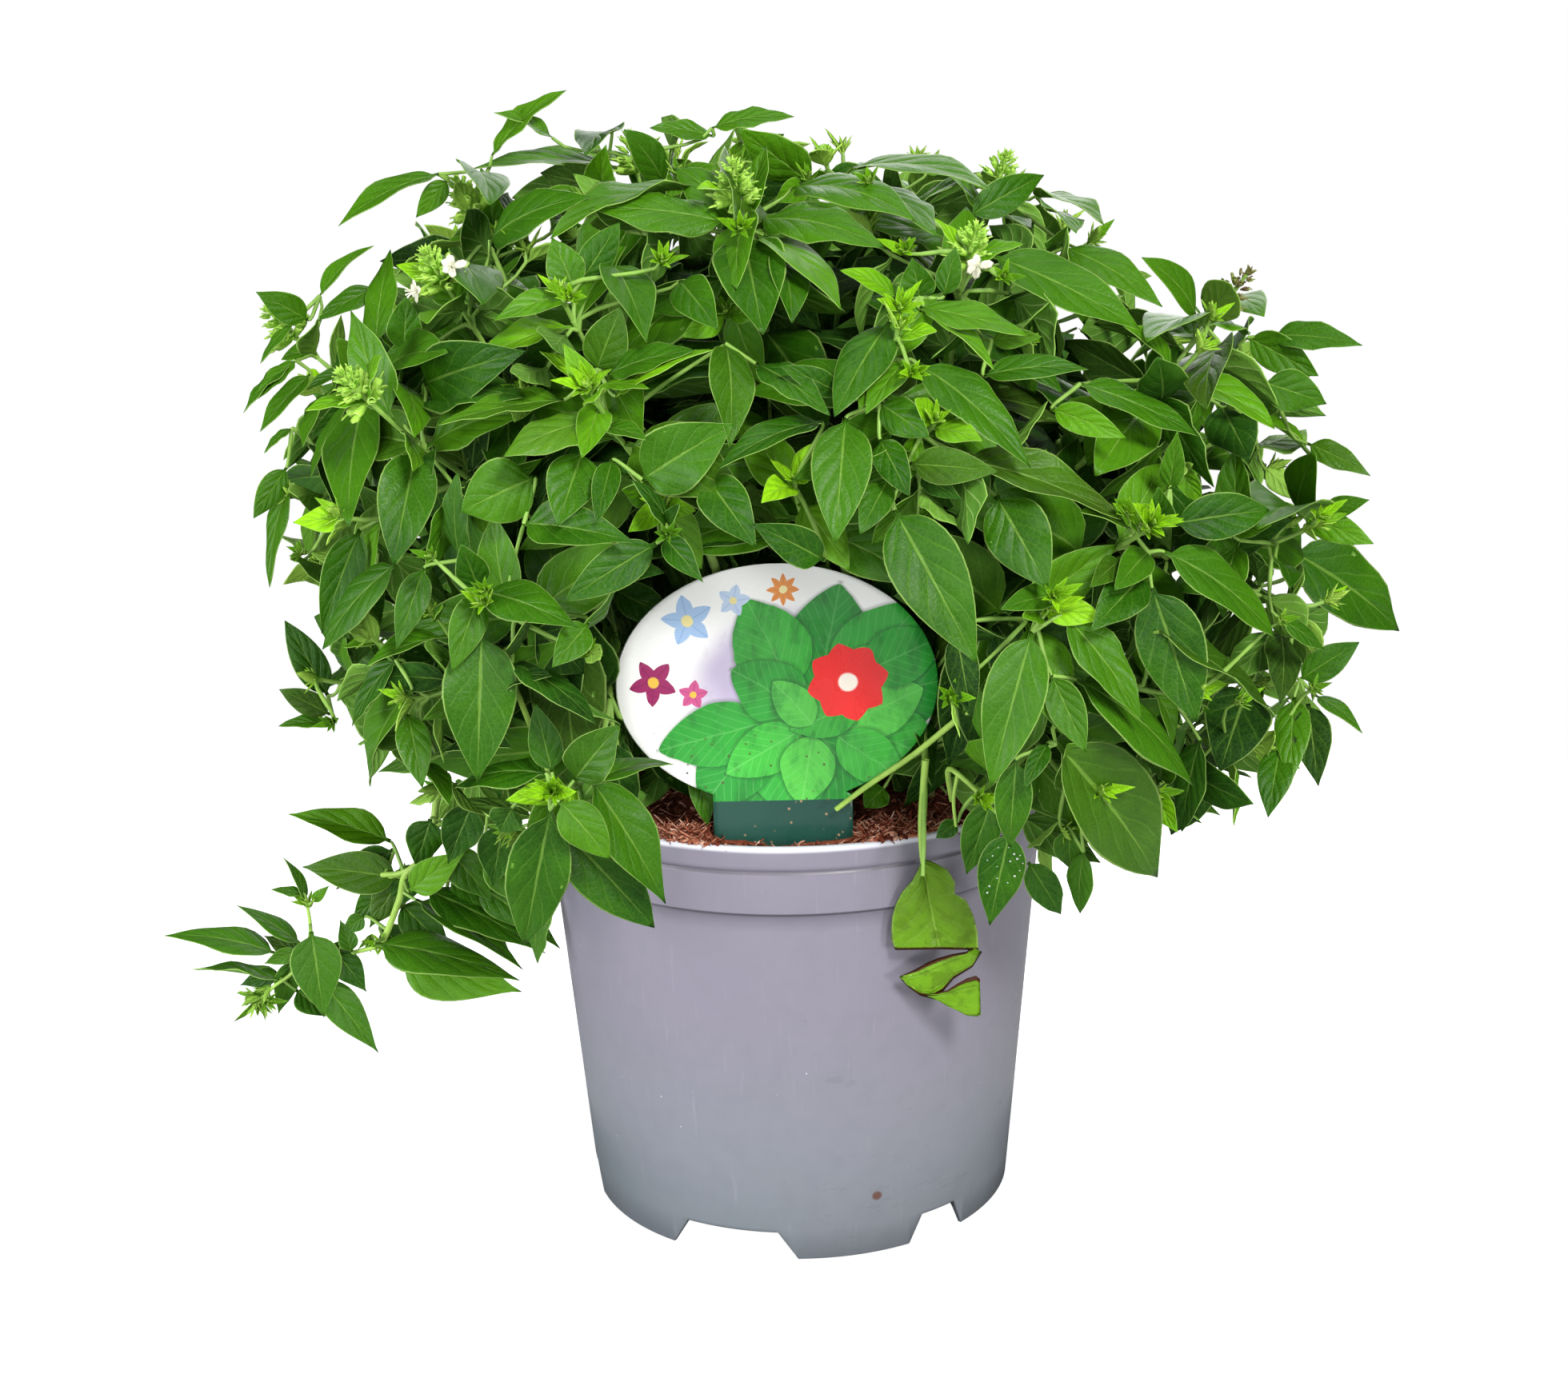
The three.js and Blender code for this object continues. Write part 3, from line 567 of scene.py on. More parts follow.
class Crowd:
    """The leaves placed so far, so that the next one keeps clear of them."""

    CELL = 45

    def __init__(self):
        self.cells = {}
        self.first = []
        self.curtain = None

    def near(self, points):
        low = np.floor(points.min(0) / self.CELL).astype(int)
        high = np.floor(points.max(0) / self.CELL).astype(int)
        found = {}
        for x in range(low[0], high[0] + 1):
            for y in range(low[1], high[1] + 1):
                for z in range(low[2], high[2] + 1):
                    for key, tree in self.cells.get((x, y, z), ()):
                        found[key] = tree
        return found.values()

    def takes(self, leaf, seen=False):
        """Adds the leaf and returns True if it is clear, or if it is one that the photograph shows."""
        points = blade(leaf, COARSE_ALONG, COARSE_ACROSS)[0].reshape(-1, 3)
        if not seen:
            if in_pot(points) or hides_made_parts(points) or leaves_outline(points):
                return False
            if self.curtain and any(self.curtain.ray_cast(Vector(p), Vector(unit(p - EYE)), 300)[0]
                                    for p in points[1::2]):
                return False
        tree = BVHTree.FromPolygons(points.tolist(), COARSE_FACES)
        if not seen and any(tree.overlap(other) for other in self.near(points)):
            return False
        if seen:
            self.first.append(points)
        low = np.floor(points.min(0) / self.CELL).astype(int)
        high = np.floor(points.max(0) / self.CELL).astype(int)
        for x in range(low[0], high[0] + 1):
            for y in range(low[1], high[1] + 1):
                for z in range(low[2], high[2] + 1):
                    self.cells.setdefault((x, y, z), []).append((id(leaf), tree))
        return True

    def draw_curtain(self):
        """After this, no leaf is placed between the viewer and the leaves that the photograph shows."""
        if self.first:
            points = np.concatenate(self.first)
            faces = [[15 * i + v for v in face] for i in range(len(self.first)) for face in COARSE_FACES]
            self.curtain = BVHTree.FromPolygons(points.tolist(), faces)


TRIES = [(0, 1), (0.3, 1), (-0.3, 1), (0.55, 0.94), (-0.55, 0.94), (0, 0.82), (0.4, 0.75), (-0.4, 0.68)]


def fit_leaf(crowd, leaf):
    """The leaf, turned round its shoot or made smaller until it is clear of the others, or None."""
    for turn, share in TRIES:
        spin = np.array(Matrix.Rotation(turn, 3, Vector(leaf["stalk"])))
        tried = dict(leaf, way=spin @ leaf["way"], face=spin @ leaf["face"],
                     length=leaf["length"] * share, width=leaf["width"] * share)
        if crowd.takes(tried):
            return tried
    return None


# ---------- what the photograph shows: leaves, growing tips and stems by their pixels ----------
# Each leaf: foot x and y, tip x and y, width, age from 0 (young) to 1 (old), and how far it stands out; the ones set
# back into the dome may reach age 1, the darkest colour, as painted shade.
SEEN_LEAVES = [
    # top left
    (548, 218, 423, 283, 24, .6), (690, 172, 617, 141, 18, .5), (615, 195, 708, 113, 20, .5),
    (760, 205, 588, 212, 24, .6), (590, 215, 612, 257, 50, .8), (560, 225, 520, 272, 30, .6),
    (612, 300, 738, 246, 55, .85), (560, 330, 604, 382, 60, .8), (505, 440, 508, 370, 46, .7),
    (470, 430, 488, 312, 42, .7), (470, 360, 397, 400, 30, .8), (400, 370, 468, 307, 18, .6),
    (385, 400, 320, 365, 40, .6), (365, 405, 325, 455, 14, .6), (370, 450, 320, 500, 20, .6),
    (530, 480, 657, 439, 85, .95), (478, 470, 560, 441, 38, .6), (715, 368, 617, 401, 32, .5),
    (718, 362, 690, 297, 52, .7), (728, 350, 775, 278, 45, .8), (765, 330, 808, 428, 60, .8),
    (746, 462, 776, 384, 58, .8), (760, 468, 868, 438, 38, .8), (730, 478, 674, 439, 22, .15),
    (750, 482, 812, 486, 18, .3), (770, 495, 893, 437, 22, .2), (907, 430, 912, 560, 58, .75),
    # top
    (908, 278, 738, 260, 50, .7), (870, 235, 688, 299, 16, .5), (915, 212, 921, 286, 55, .9),
    (935, 278, 958, 183, 40, .5), (930, 270, 921, 361, 52, .6), (930, 300, 954, 419, 100, .85),
    (950, 275, 1108, 312, 48, .7), (955, 295, 1052, 388, 45, .45), (975, 320, 990, 404, 50, .8),
    (850, 352, 898, 412, 60, .85), (890, 160, 993, 146, 22, .6), (890, 170, 812, 160, 24, .6),
    (765, 165, 732, 195, 30, .9),
    # top right
    (990, 235, 1145, 276, 45, .7), (1085, 230, 1170, 295, 40, .7), (1065, 210, 1240, 238, 35, .6),
    (1212, 270, 1305, 219, 50, .9), (1295, 245, 1380, 282, 20, .6), (1310, 262, 1345, 292, 16, .5),
    (1240, 320, 1425, 412, 60, .7), (1330, 310, 1453, 384, 45, .7), (1150, 372, 1140, 322, 50, .95),
    (1180, 370, 1195, 308, 34, .8), (1120, 370, 1050, 338, 28, .3), (1150, 385, 1285, 420, 40, .45),
    (1160, 395, 1243, 463, 22, .25), (1112, 403, 1043, 521, 63, .8), (1240, 425, 1303, 421, 30, .6),
    (1230, 470, 1361, 462, 36, .7), (1148, 456, 1288, 585, 66, .8), (1135, 450, 1082, 518, 38, .4),
    (1100, 505, 1162, 547, 50, .5), (1495, 395, 1427, 322, 36, .6), (1510, 408, 1433, 428, 22, .6),
    (1535, 375, 1580, 396, 36, .55), (1560, 422, 1648, 470, 50, .6), (1590, 420, 1703, 432, 36, .7),
    (1580, 478, 1658, 505, 56, .7), (1525, 430, 1508, 513, 62, .85), (1525, 505, 1562, 575, 70, 1, -.06),
    (1350, 480, 1498, 545, 35, .8), (1315, 512, 1408, 548, 40, .3), (1462, 612, 1472, 538, 34, .6),
    (1635, 555, 1713, 595, 34, .75), (1622, 640, 1645, 565, 46, .5), (1655, 640, 1712, 625, 30, .6),
    # middle
    (1057, 523, 1044, 680, 78, .7), (885, 600, 945, 684, 66, .3), (1030, 700, 940, 655, 55, .7),
    (1118, 638, 1222, 831, 104, .42), (803, 600, 918, 530, 92, .85), (1028, 528, 897, 587, 34, .5),
    (1050, 492, 975, 458, 35, .6), (945, 455, 1038, 520, 40, .9), (1100, 550, 1137, 621, 45, .6),
    (1138, 580, 1248, 590, 50, .7), (1200, 575, 1402, 650, 55, .75), (1110, 600, 1075, 668, 42, .6),
    (830, 672, 879, 728, 38, .5), (1245, 620, 1310, 735, 86, .95), (1290, 790, 1238, 985, 84, .6),
    (1150, 595, 1202, 625, 30, .7, -.04), (820, 680, 706, 752, 56, .9), (655, 655, 793, 678, 64, .9),
    (765, 575, 745, 655, 38, .8), (750, 505, 727, 573, 46, .3), (755, 535, 808, 550, 24, .6),
    (668, 597, 576, 640, 86, .65), (728, 565, 697, 658, 68, .9), (705, 500, 546, 532, 28, .6),
    (530, 500, 655, 497, 42, .95, -.04), (605, 740, 722, 785, 58, .6), (600, 740, 565, 840, 48, .5),
    (598, 735, 576, 680, 44, .8), (575, 700, 572, 590, 30, .8, -.04), (640, 830, 745, 905, 34, .85, -.03),
    (735, 780, 690, 835, 46, .5), (620, 860, 690, 845, 34, .9, -.06), (840, 665, 790, 600, 20, .85),
    (833, 668, 850, 630, 16, .6), (1320, 745, 1250, 762, 36, .5), (1195, 790, 1215, 900, 46, .9, -.06),
    # right
    (1450, 660, 1448, 608, 42, .7), (1468, 655, 1587, 638, 64, .85), (1635, 650, 1572, 662, 42, .6),
    (1435, 690, 1393, 738, 46, .75), (1430, 720, 1363, 790, 66, .7), (1410, 660, 1350, 640, 25, .5),
    (1455, 690, 1594, 797, 56, .6), (1440, 735, 1496, 904, 88, .85), (1450, 790, 1597, 900, 38, .65, .02),
    (1330, 770, 1429, 903, 58, .55), (1315, 845, 1357, 940, 50, .5), (1345, 850, 1492, 983, 46, .55),
    (1320, 930, 1447, 1097, 128, .58), (1270, 950, 1262, 1060, 50, .6), (1310, 930, 1280, 985, 28, .6),
    (1628, 645, 1717, 680, 40, .2), (1625, 850, 1699, 803, 46, .6),
    (1645, 870, 1703, 917, 22, .6), (1618, 872, 1614, 980, 46, .45), (1635, 880, 1648, 983, 50, .8, -.03),
    (1600, 935, 1585, 1022, 48, .6, -.03), (1600, 790, 1600, 880, 44, .95, -.04),
    (1602, 776, 1655, 812, 22, .45), (1600, 705, 1612, 736, 26, .8), (1560, 860, 1525, 965, 84, 1, -.05),
    (1500, 925, 1477, 1040, 46, .9, -.03), (1400, 700, 1362, 735, 36, .7), (1420, 745, 1475, 835, 60, .95, -.06),
    # left
    (455, 500, 436, 660, 68, .75), (440, 498, 388, 598, 18, .6), (520, 562, 492, 707, 78, .8),
    (450, 662, 402, 792, 56, .85), (495, 705, 403, 812, 40, .65), (530, 710, 495, 813, 44, .75),
    (500, 478, 518, 548, 40, .45), (508, 545, 516, 590, 24, .5), (365, 455, 304, 517, 16, .7),
    (388, 468, 325, 540, 26, .7), (365, 535, 330, 567, 12, .6), (435, 463, 384, 488, 14, .85),
    (358, 585, 317, 648, 34, .6), (362, 605, 337, 735, 26, .6), (395, 560, 420, 640, 40, .9, -.06),
    (410, 870, 356, 776, 44, .8), (412, 893, 349, 862, 34, .8), (415, 905, 348, 908, 16, .6),
    (495, 825, 440, 908, 30, .7), (515, 862, 463, 985, 34, .45), (510, 893, 528, 985, 46, .5),
    (602, 790, 597, 978, 96, .85), (530, 952, 562, 1008, 26, .8), (560, 850, 470, 845, 40, .8, -.05),
    (380, 700, 420, 745, 30, .6, -.04), (560, 940, 640, 935, 44, .95, -.06), (520, 640, 545, 560, 40, .95, -.06),
]

# Leaves that hang below the dome: foot x, y and depth in mm, tip x, y and depth, width, age.
HANGING_LEAVES = [
    (688, 1012, -122, 656, 1182, -106, 90, .6), (682, 1110, -100, 672, 1205, -92, 30, .45),
    (700, 1002, -127, 763, 1074, -126, 58, .4), (738, 975, -118, 832, 1130, -108, 70, .55),
    (695, 1030, -112, 818, 1160, -99, 84, .6), (738, 980, -116, 843, 956, -92, 28, .55),
    (682, 967, -122, 568, 985, -98, 40, .7), (690, 965, -122, 668, 878, -120, 44, .6),
    (718, 975, -120, 775, 906, -128, 66, .55), (640, 1010, -104, 625, 1040, -100, 50, .85),
    (1262, 1040, -106, 1237, 1157, -98, 62, .72), (1285, 1078, -94, 1326, 1143, -88, 44, .75),
    (1240, 1000, -100, 1208, 1093, -94, 52, .7), (1197, 1028, -92, 1170, 1048, -92, 26, .7),
    (1355, 1065, -98, 1350, 1142, -90, 36, .55), (1335, 1035, -96, 1338, 1087, -90, 44, .9),
    (872, 955, -66, 885, 1034, -69, 36, .85), (1105, 985, -62, 1080, 1010, -66, 40, .9),
    (1150, 880, -66, 1165, 985, -76, 26, .7), (768, 738, -58, 845, 778, -60, 52, 1),
    (1612, 688, -8, 1749, 789, 20, 90, .7),
]

WET_LEAF = 10  # its place in the list above
DROP_RADIUS = 0.3
DROPS = [  # shares of the leaf's length and half its width
    (0.17, -0.4), (0.26, -0.5), (0.36, -0.2), (0.2, 0.45), (0.2, 0.75), (0.28, 0.85), (0.28, 0.3), (0.36, 0.75),
    (0.48, -0.1), (0.42, 0.6), (0.57, -0.4), (0.64, -0.5), (0.31, -0.65), (0.15, 0.15), (0.5, 0.4), (0.24, 0.6),
]

# The loose branch on the left, as the hanging leaves.
LOOSE_LEAVES = [
    (488, 1052, -22, 360, 1018, -24, 46, .4), (500, 1098, -18, 378, 1084, -12, 56, .8),
    (505, 1092, -14, 462, 1160, -16, 46, .9), (446, 1098, -14, 424, 1079, -14, 22, .6),
    (512, 1114, -30, 584, 1063, -34, 46, .2), (530, 1112, -24, 682, 1192, -34, 52, .95),
    (520, 1125, -26, 654, 1213, -34, 40, .9), (560, 1098, -20, 660, 1150, -26, 56, 1),
    (596, 1106, -24, 690, 1170, -30, 50, .9), (470, 1180, -28, 650, 1226, -36, 58, .62), (498, 1204, -18, 652, 1240, -24, 74, .35),
    (389, 1165, -18, 405, 1272, -22, 66, .75), (400, 1225, -14, 473, 1316, -16, 48, .8),
    (370, 1238, -10, 412, 1272, -12, 40, .95), (345, 1192, -12, 205, 1170, -10, 34, .65),
    (350, 1226, -12, 238, 1212, -10, 18, .7), (375, 1180, -12, 296, 1132, -10, 24, .7),
    (382, 1127, -12, 354, 1072, -10, 14, .7), (378, 1117, -12, 338, 1112, -12, 13, .7),
    (390, 1128, -14, 412, 1107, -14, 14, .4), (420, 1190, -16, 458, 1240, -16, 40, .95),
    (456, 1146, -16, 428, 1166, -16, 24, .8), (440, 1190, -18, 425, 1150, -16, 26, .85),
    (372, 1190, -14, 330, 1205, -14, 22, .6), (538, 1024, -28, 520, 1085, -26, 50, 1),
    (590, 1005, -40, 560, 1080, -36, 56, 1), (628, 1030, -50, 616, 1108, -48, 56, 1),
    (500, 1130, -14, 566, 1196, -18, 50, .95), (486, 1112, -12, 440, 1150, -12, 40, .95),
    (492, 1062, -12, 420, 1112, -8, 44, .95), (560, 1062, -30, 616, 1128, -30, 52, 1),
    (606, 1070, -40, 672, 1136, -40, 52, 1), (560, 1120, -16, 640, 1196, -20, 52, 1),
    (524, 1080, -18, 486, 1140, -14, 40, .95), (425, 1185, -12, 392, 1222, -10, 34, .85),
    (366, 1200, -10, 348, 1268, -8, 34, .8), (410, 1180, -10, 446, 1222, -10, 40, .95),
    (380, 1196, -10, 330, 1170, -6, 30, .85), (476, 1160, -12, 520, 1200, -12, 40, 1),
    (600, 1100, -16, 700, 1186, -20, 44, 1), (350, 1216, -8, 300, 1232, -6, 26, .85),
]

LOOSE_POINT = 1.35  # its leaves are drawn out further
LOOSE_OLDEST = 0.84

# Growing tips on the loose branch: x, y and depth, the way they point in mm, leaf length, age.
LOOSE_TIPS = [
    (384, 1129, -12, (-0.3, -0.5, 0.8), 30, .05), (477, 1181, -20, (-0.5, -0.7, 0.4), 30, .1),
    (404, 1196, -15, (-0.6, -0.6, 0.3), 24, .2), (505, 1090, -22, (-0.5, -0.6, 0.5), 22, .3),
    (326, 1250, -12, (-0.3, -0.4, -0.9), 40, .3), (332, 1238, -12, (-0.6, -0.4, -0.5), 30, .3),
    (322, 1256, -13, (0.3, -0.6, -0.6), 30, .2), (316, 1246, -11, (-0.9, -0.3, -0.1), 30, .25),
    (334, 1252, -14, (0.6, -0.7, -0.2), 28, .25), (462, 1176, -18, (-0.2, -0.7, -0.6), 26, .2),
]

# Growing tips: x, y, leaf length in mm, age.
SEEN_TIPS = [
    (735, 480, 40, 0), (1125, 385, 40, .05), (1140, 465, 34, .1), (1440, 655, 50, 0), (1515, 395, 34, .1),
    (1650, 645, 30, .05), (690, 990, 44, .1), (605, 738, 26, .2), (1318, 745, 34, .12), (713, 371, 30, .15),
    (828, 325, 34, .1), (1130, 312, 30, .1), (1255, 345, 28, .2), (835, 668, 26, .3), (1602, 775, 24, .2),
    (1643, 860, 26, .3), (537, 695, 24, .25), (375, 690, 26, .25), (415, 903, 26, .4), (1085, 225, 24, .2),
    (925, 285, 30, .15), (1410, 640, 30, .08),
]

# Stems that show in front, as points of x, y and depth, with a radius in mm and the branch they go with.
SEEN_TWIGS = [
    ([(1240, 868, -108), (1196, 900, -96), (1140, 945, -86), (1085, 982, -80), (1045, 1012, -78)], 1.2, 15),
    ([(1190, 1000, -80), (1186, 962, -92), (1198, 968, -98), (1240, 1006, -100)], 1.1, 15),
    ([(1197, 968, -96), (1192, 1000, -94), (1196, 1040, -92)], 0.7, 15),
    ([(1240, 868, -106), (1262, 830, -118), (1290, 790, -124)], 1.0, 15),
    ([(690, 975, -122), (660, 900, -104), (632, 830, -80), (610, 790, -56)], 1.1, 8),
    ([(555, 960, -14), (546, 1000, -16), (542, 1040, -20), (536, 1070, -24), (508, 1092, -24), (500, 1122, -22),
      (486, 1160, -20), (476, 1183, -20)], 1.6, 33),
    ([(478, 1094, -18), (505, 1090, -24), (536, 1070, -25)], 1.1, 33),
    ([(508, 1092, -22), (480, 1098, -17), (440, 1104, -14)], 0.8, 33),
    ([(476, 1183, -20), (430, 1192, -14), (385, 1190, -12), (345, 1192, -12)], 0.9, 33),
    ([(385, 1190, -12), (388, 1160, -12), (384, 1130, -12)], 0.8, 33),
    ([(385, 1190, -12), (366, 1216, -12), (342, 1234, -12), (327, 1249, -12)], 0.8, 33),
    ([(508, 1094, -22), (560, 1100, -21), (600, 1108, -25)], 0.9, 33),
    ([(542, 1036, -20), (590, 1010, -38), (630, 1030, -48)], 0.9, 33),
]


def sight(entry):
    """A point from its pixel and depth."""
    px, py, y = entry
    return on_depth(px, py, y)


def px_to_mm(point):
    """How many millimetres a pixel spans at a point."""
    return (point - EYE) @ FORWARD / FOCAL_PX


def seen_leaf(base, tip, wide, age, seed):
    """A leaf between two points, turned so that it looks as wide as in the photograph."""
    span = np.linalg.norm(tip - base)
    wide = wide * px_to_mm(base)
    width = max(wide, 0.4 * span)
    ahead = unit(tip - base)
    to_eye = EYE - base
    face = unit(to_eye - ahead * (to_eye @ ahead))
    roll = math.acos(min(1, wide / width))
    side = np.cross(face, ahead)
    turned = [face * math.cos(roll) + side * math.sin(roll) * way for way in (1, -1)]
    face = max(turned, key=lambda f: f @ UP)
    fold = 0.3 + 0.14 * vary(*seed, 9)
    return aimed_leaf(base, tip, face, seed, width=width, age=age, fold=fold, petiole=0.05,
                      curl=0.4 + 0.2 * vary(*seed, 6), sag=0.1, stalk=ahead)


# ---------- the plant's lines, as in the solid model ----------
def stem_line(azimuth, radius, fork_z):
    root = polar(azimuth, radius, STEM["root_z"])
    fork = polar(azimuth, radius * FORK["spread"] + FORK["out"], fork_z)
    lean = unit(polar(azimuth, STEM["lean"], 1))
    trunk = bezier(root, root + UP * STEM["rise"], fork - lean * STEM["bend"], fork)
    return dict(fork=fork, lean=lean, trunk=trunk, arms=[])


class Shoot:
    """One leafy line, the branch that it belongs to, its leaf length and its seed."""

    def __init__(self, branch, path, size, seed, radius=AXIS_RADIUS, age=0.0, rosette=True):
        self.branch, self.path, self.size, self.seed = branch, path, size, seed
        self.radius, self.age, self.rosette = radius, age, rosette


def grow_branches(stems):
    """The leafy lines of the solid model; each stem gets the arms that carry them."""
    shoots = []
    for index, branch in enumerate(BRANCHES):
        stem = stems[branch["stem"]]
        tips = [np.array(tip[:3], float) for tip in branch["tips"]]
        if "route" in branch:
            whole = through([stem["fork"], *branch["route"], tips[0]])
        else:
            whole = arch(stem["fork"], stem["lean"], tips[0], tip_direction(tips[0]))
        stem["arms"].append(whole.part(0, BRANCH_STARTS))
        axis = whole.part(BRANCH_STARTS + 0.3 / whole.length, 1, 25)
        paths = [axis]
        for tip in tips[1:]:
            paths.append(arch(axis.at(SIDE_STARTS), axis.tangent(SIDE_STARTS), tip, tip_direction(tip)))
        for k, path in enumerate(paths):
            size = branch["leaf"] * (SIDE_LEAF if k else 1)
            spike = len(branch["tips"][k]) > 3
            shoots.append(Shoot(index, path, size, index * 4 + k, rosette=not spike))
    return shoots


class Axes:
    """Finds the nearest place on the leafy lines."""

    def __init__(self, shoots):
        self.shoots = [s for s in shoots if s.branch not in (TORN_SHOOT, LOOSE_SHOOT)]
        self.shares = np.linspace(0.05, 0.97, 24)
        self.points = np.stack([s.path.at(self.shares) for s in self.shoots])

    def nearest(self, point, outward=None, least=0.0):
        """(shoot, share, distance), where the way to the point doesn't turn back inwards."""
        away = point - self.points
        far = np.linalg.norm(away, axis=2)
        cost = np.where(far < least, 1e3, far)
        if outward is not None:
            cost = np.where(away @ outward < 0.25 * far, cost + 500, cost)
        s, k = np.unravel_index(cost.argmin(), cost.shape)
        return self.shoots[s], self.shares[k], far[s, k]


def twig_line(shoot, share, end, way):
    start, along = shoot.path.at(share), shoot.path.tangent(share)
    span = np.linalg.norm(end - start)
    return bezier(start, start + along * span * 0.3, end - way * span * 0.35, end, 13)


# ---------- filling the dome ----------
FILL = [  # level of the dome, spacing of the tips, leaf length, extra age; the larger extra age of the inner layers is painted shade
    dict(level=1.0, count=330, apart=27, size=37, age=0.22, lowest=128),
    dict(level=0.8, count=200, apart=34, size=40, age=0.45, lowest=140),
    dict(level=0.58, count=110, apart=38, size=40, age=0.7, lowest=150),
]
GOLDEN_TURN = math.pi * (3 - math.sqrt(5))


def spread_directions(count):
    """Directions spread evenly all round."""
    i = np.arange(count) + 0.5
    z = 1 - 2 * i / count
    flat = np.sqrt(1 - z * z)
    return np.stack([flat * np.cos(GOLDEN_TURN * i), flat * np.sin(GOLDEN_TURN * i), z], 1)


def fill_shoots(shoots, axes):
    """Further shoots whose tips stand apart on the dome and inside it."""
    tips = [s.path.at(1) for s in shoots]
    found = []
    for layer, fill in enumerate(FILL):
        for i, way in enumerate(spread_directions(fill["count"])):
            tip = DOME_HEART + way * (fill["level"] / dome_level(DOME_HEART + way))
            if tip[2] < fill["lowest"] or min(np.linalg.norm(np.array(tips) - tip, axis=1)) < fill["apart"]:
                continue
            shoot, share, far = axes.nearest(tip, outwards(tip), 14)
            if far > 85:
                continue
            seed = 300 + layer * 400 + i
            path = twig_line(shoot, share, tip, tip_direction(tip))
            if hides_made_parts(path.points) or leaves_outline(path.points):
                continue
            found.append(Shoot(shoot.branch, path, fill["size"] * (1 + 0.12 * vary(seed, 0, 50)), seed,
                               0.85, fill["age"]))
            tips.append(tip)
    return found


# ---------- leaves onto branches ----------
def older_and_shaded_low(base, age):
    """Leaves lower on the plant are older and darker; the darkening also serves as painted shade under the dome."""
    return min(1, age + LOW_AGE_AND_SHADE["more"] * min(1, max(0, (LOW_AGE_AND_SHADE["below"] - base[2]) / LOW_AGE_AND_SHADE["over"])))


SHADED = dict(x=1050, y=620, wide=270, tall=160, more=0.4)  # painted shade: the leaves over the label made darker, in pixels


def shade_age(base):
    px, py = pixel(base)
    away = math.hypot((px - SHADED["x"]) / SHADED["wide"], (py - SHADED["y"]) / SHADED["tall"])
    return SHADED["more"] * max(0, min(1, 2 - 1.5 * away))


SEEN_OLDEST = 0.84  # of the leaves in front


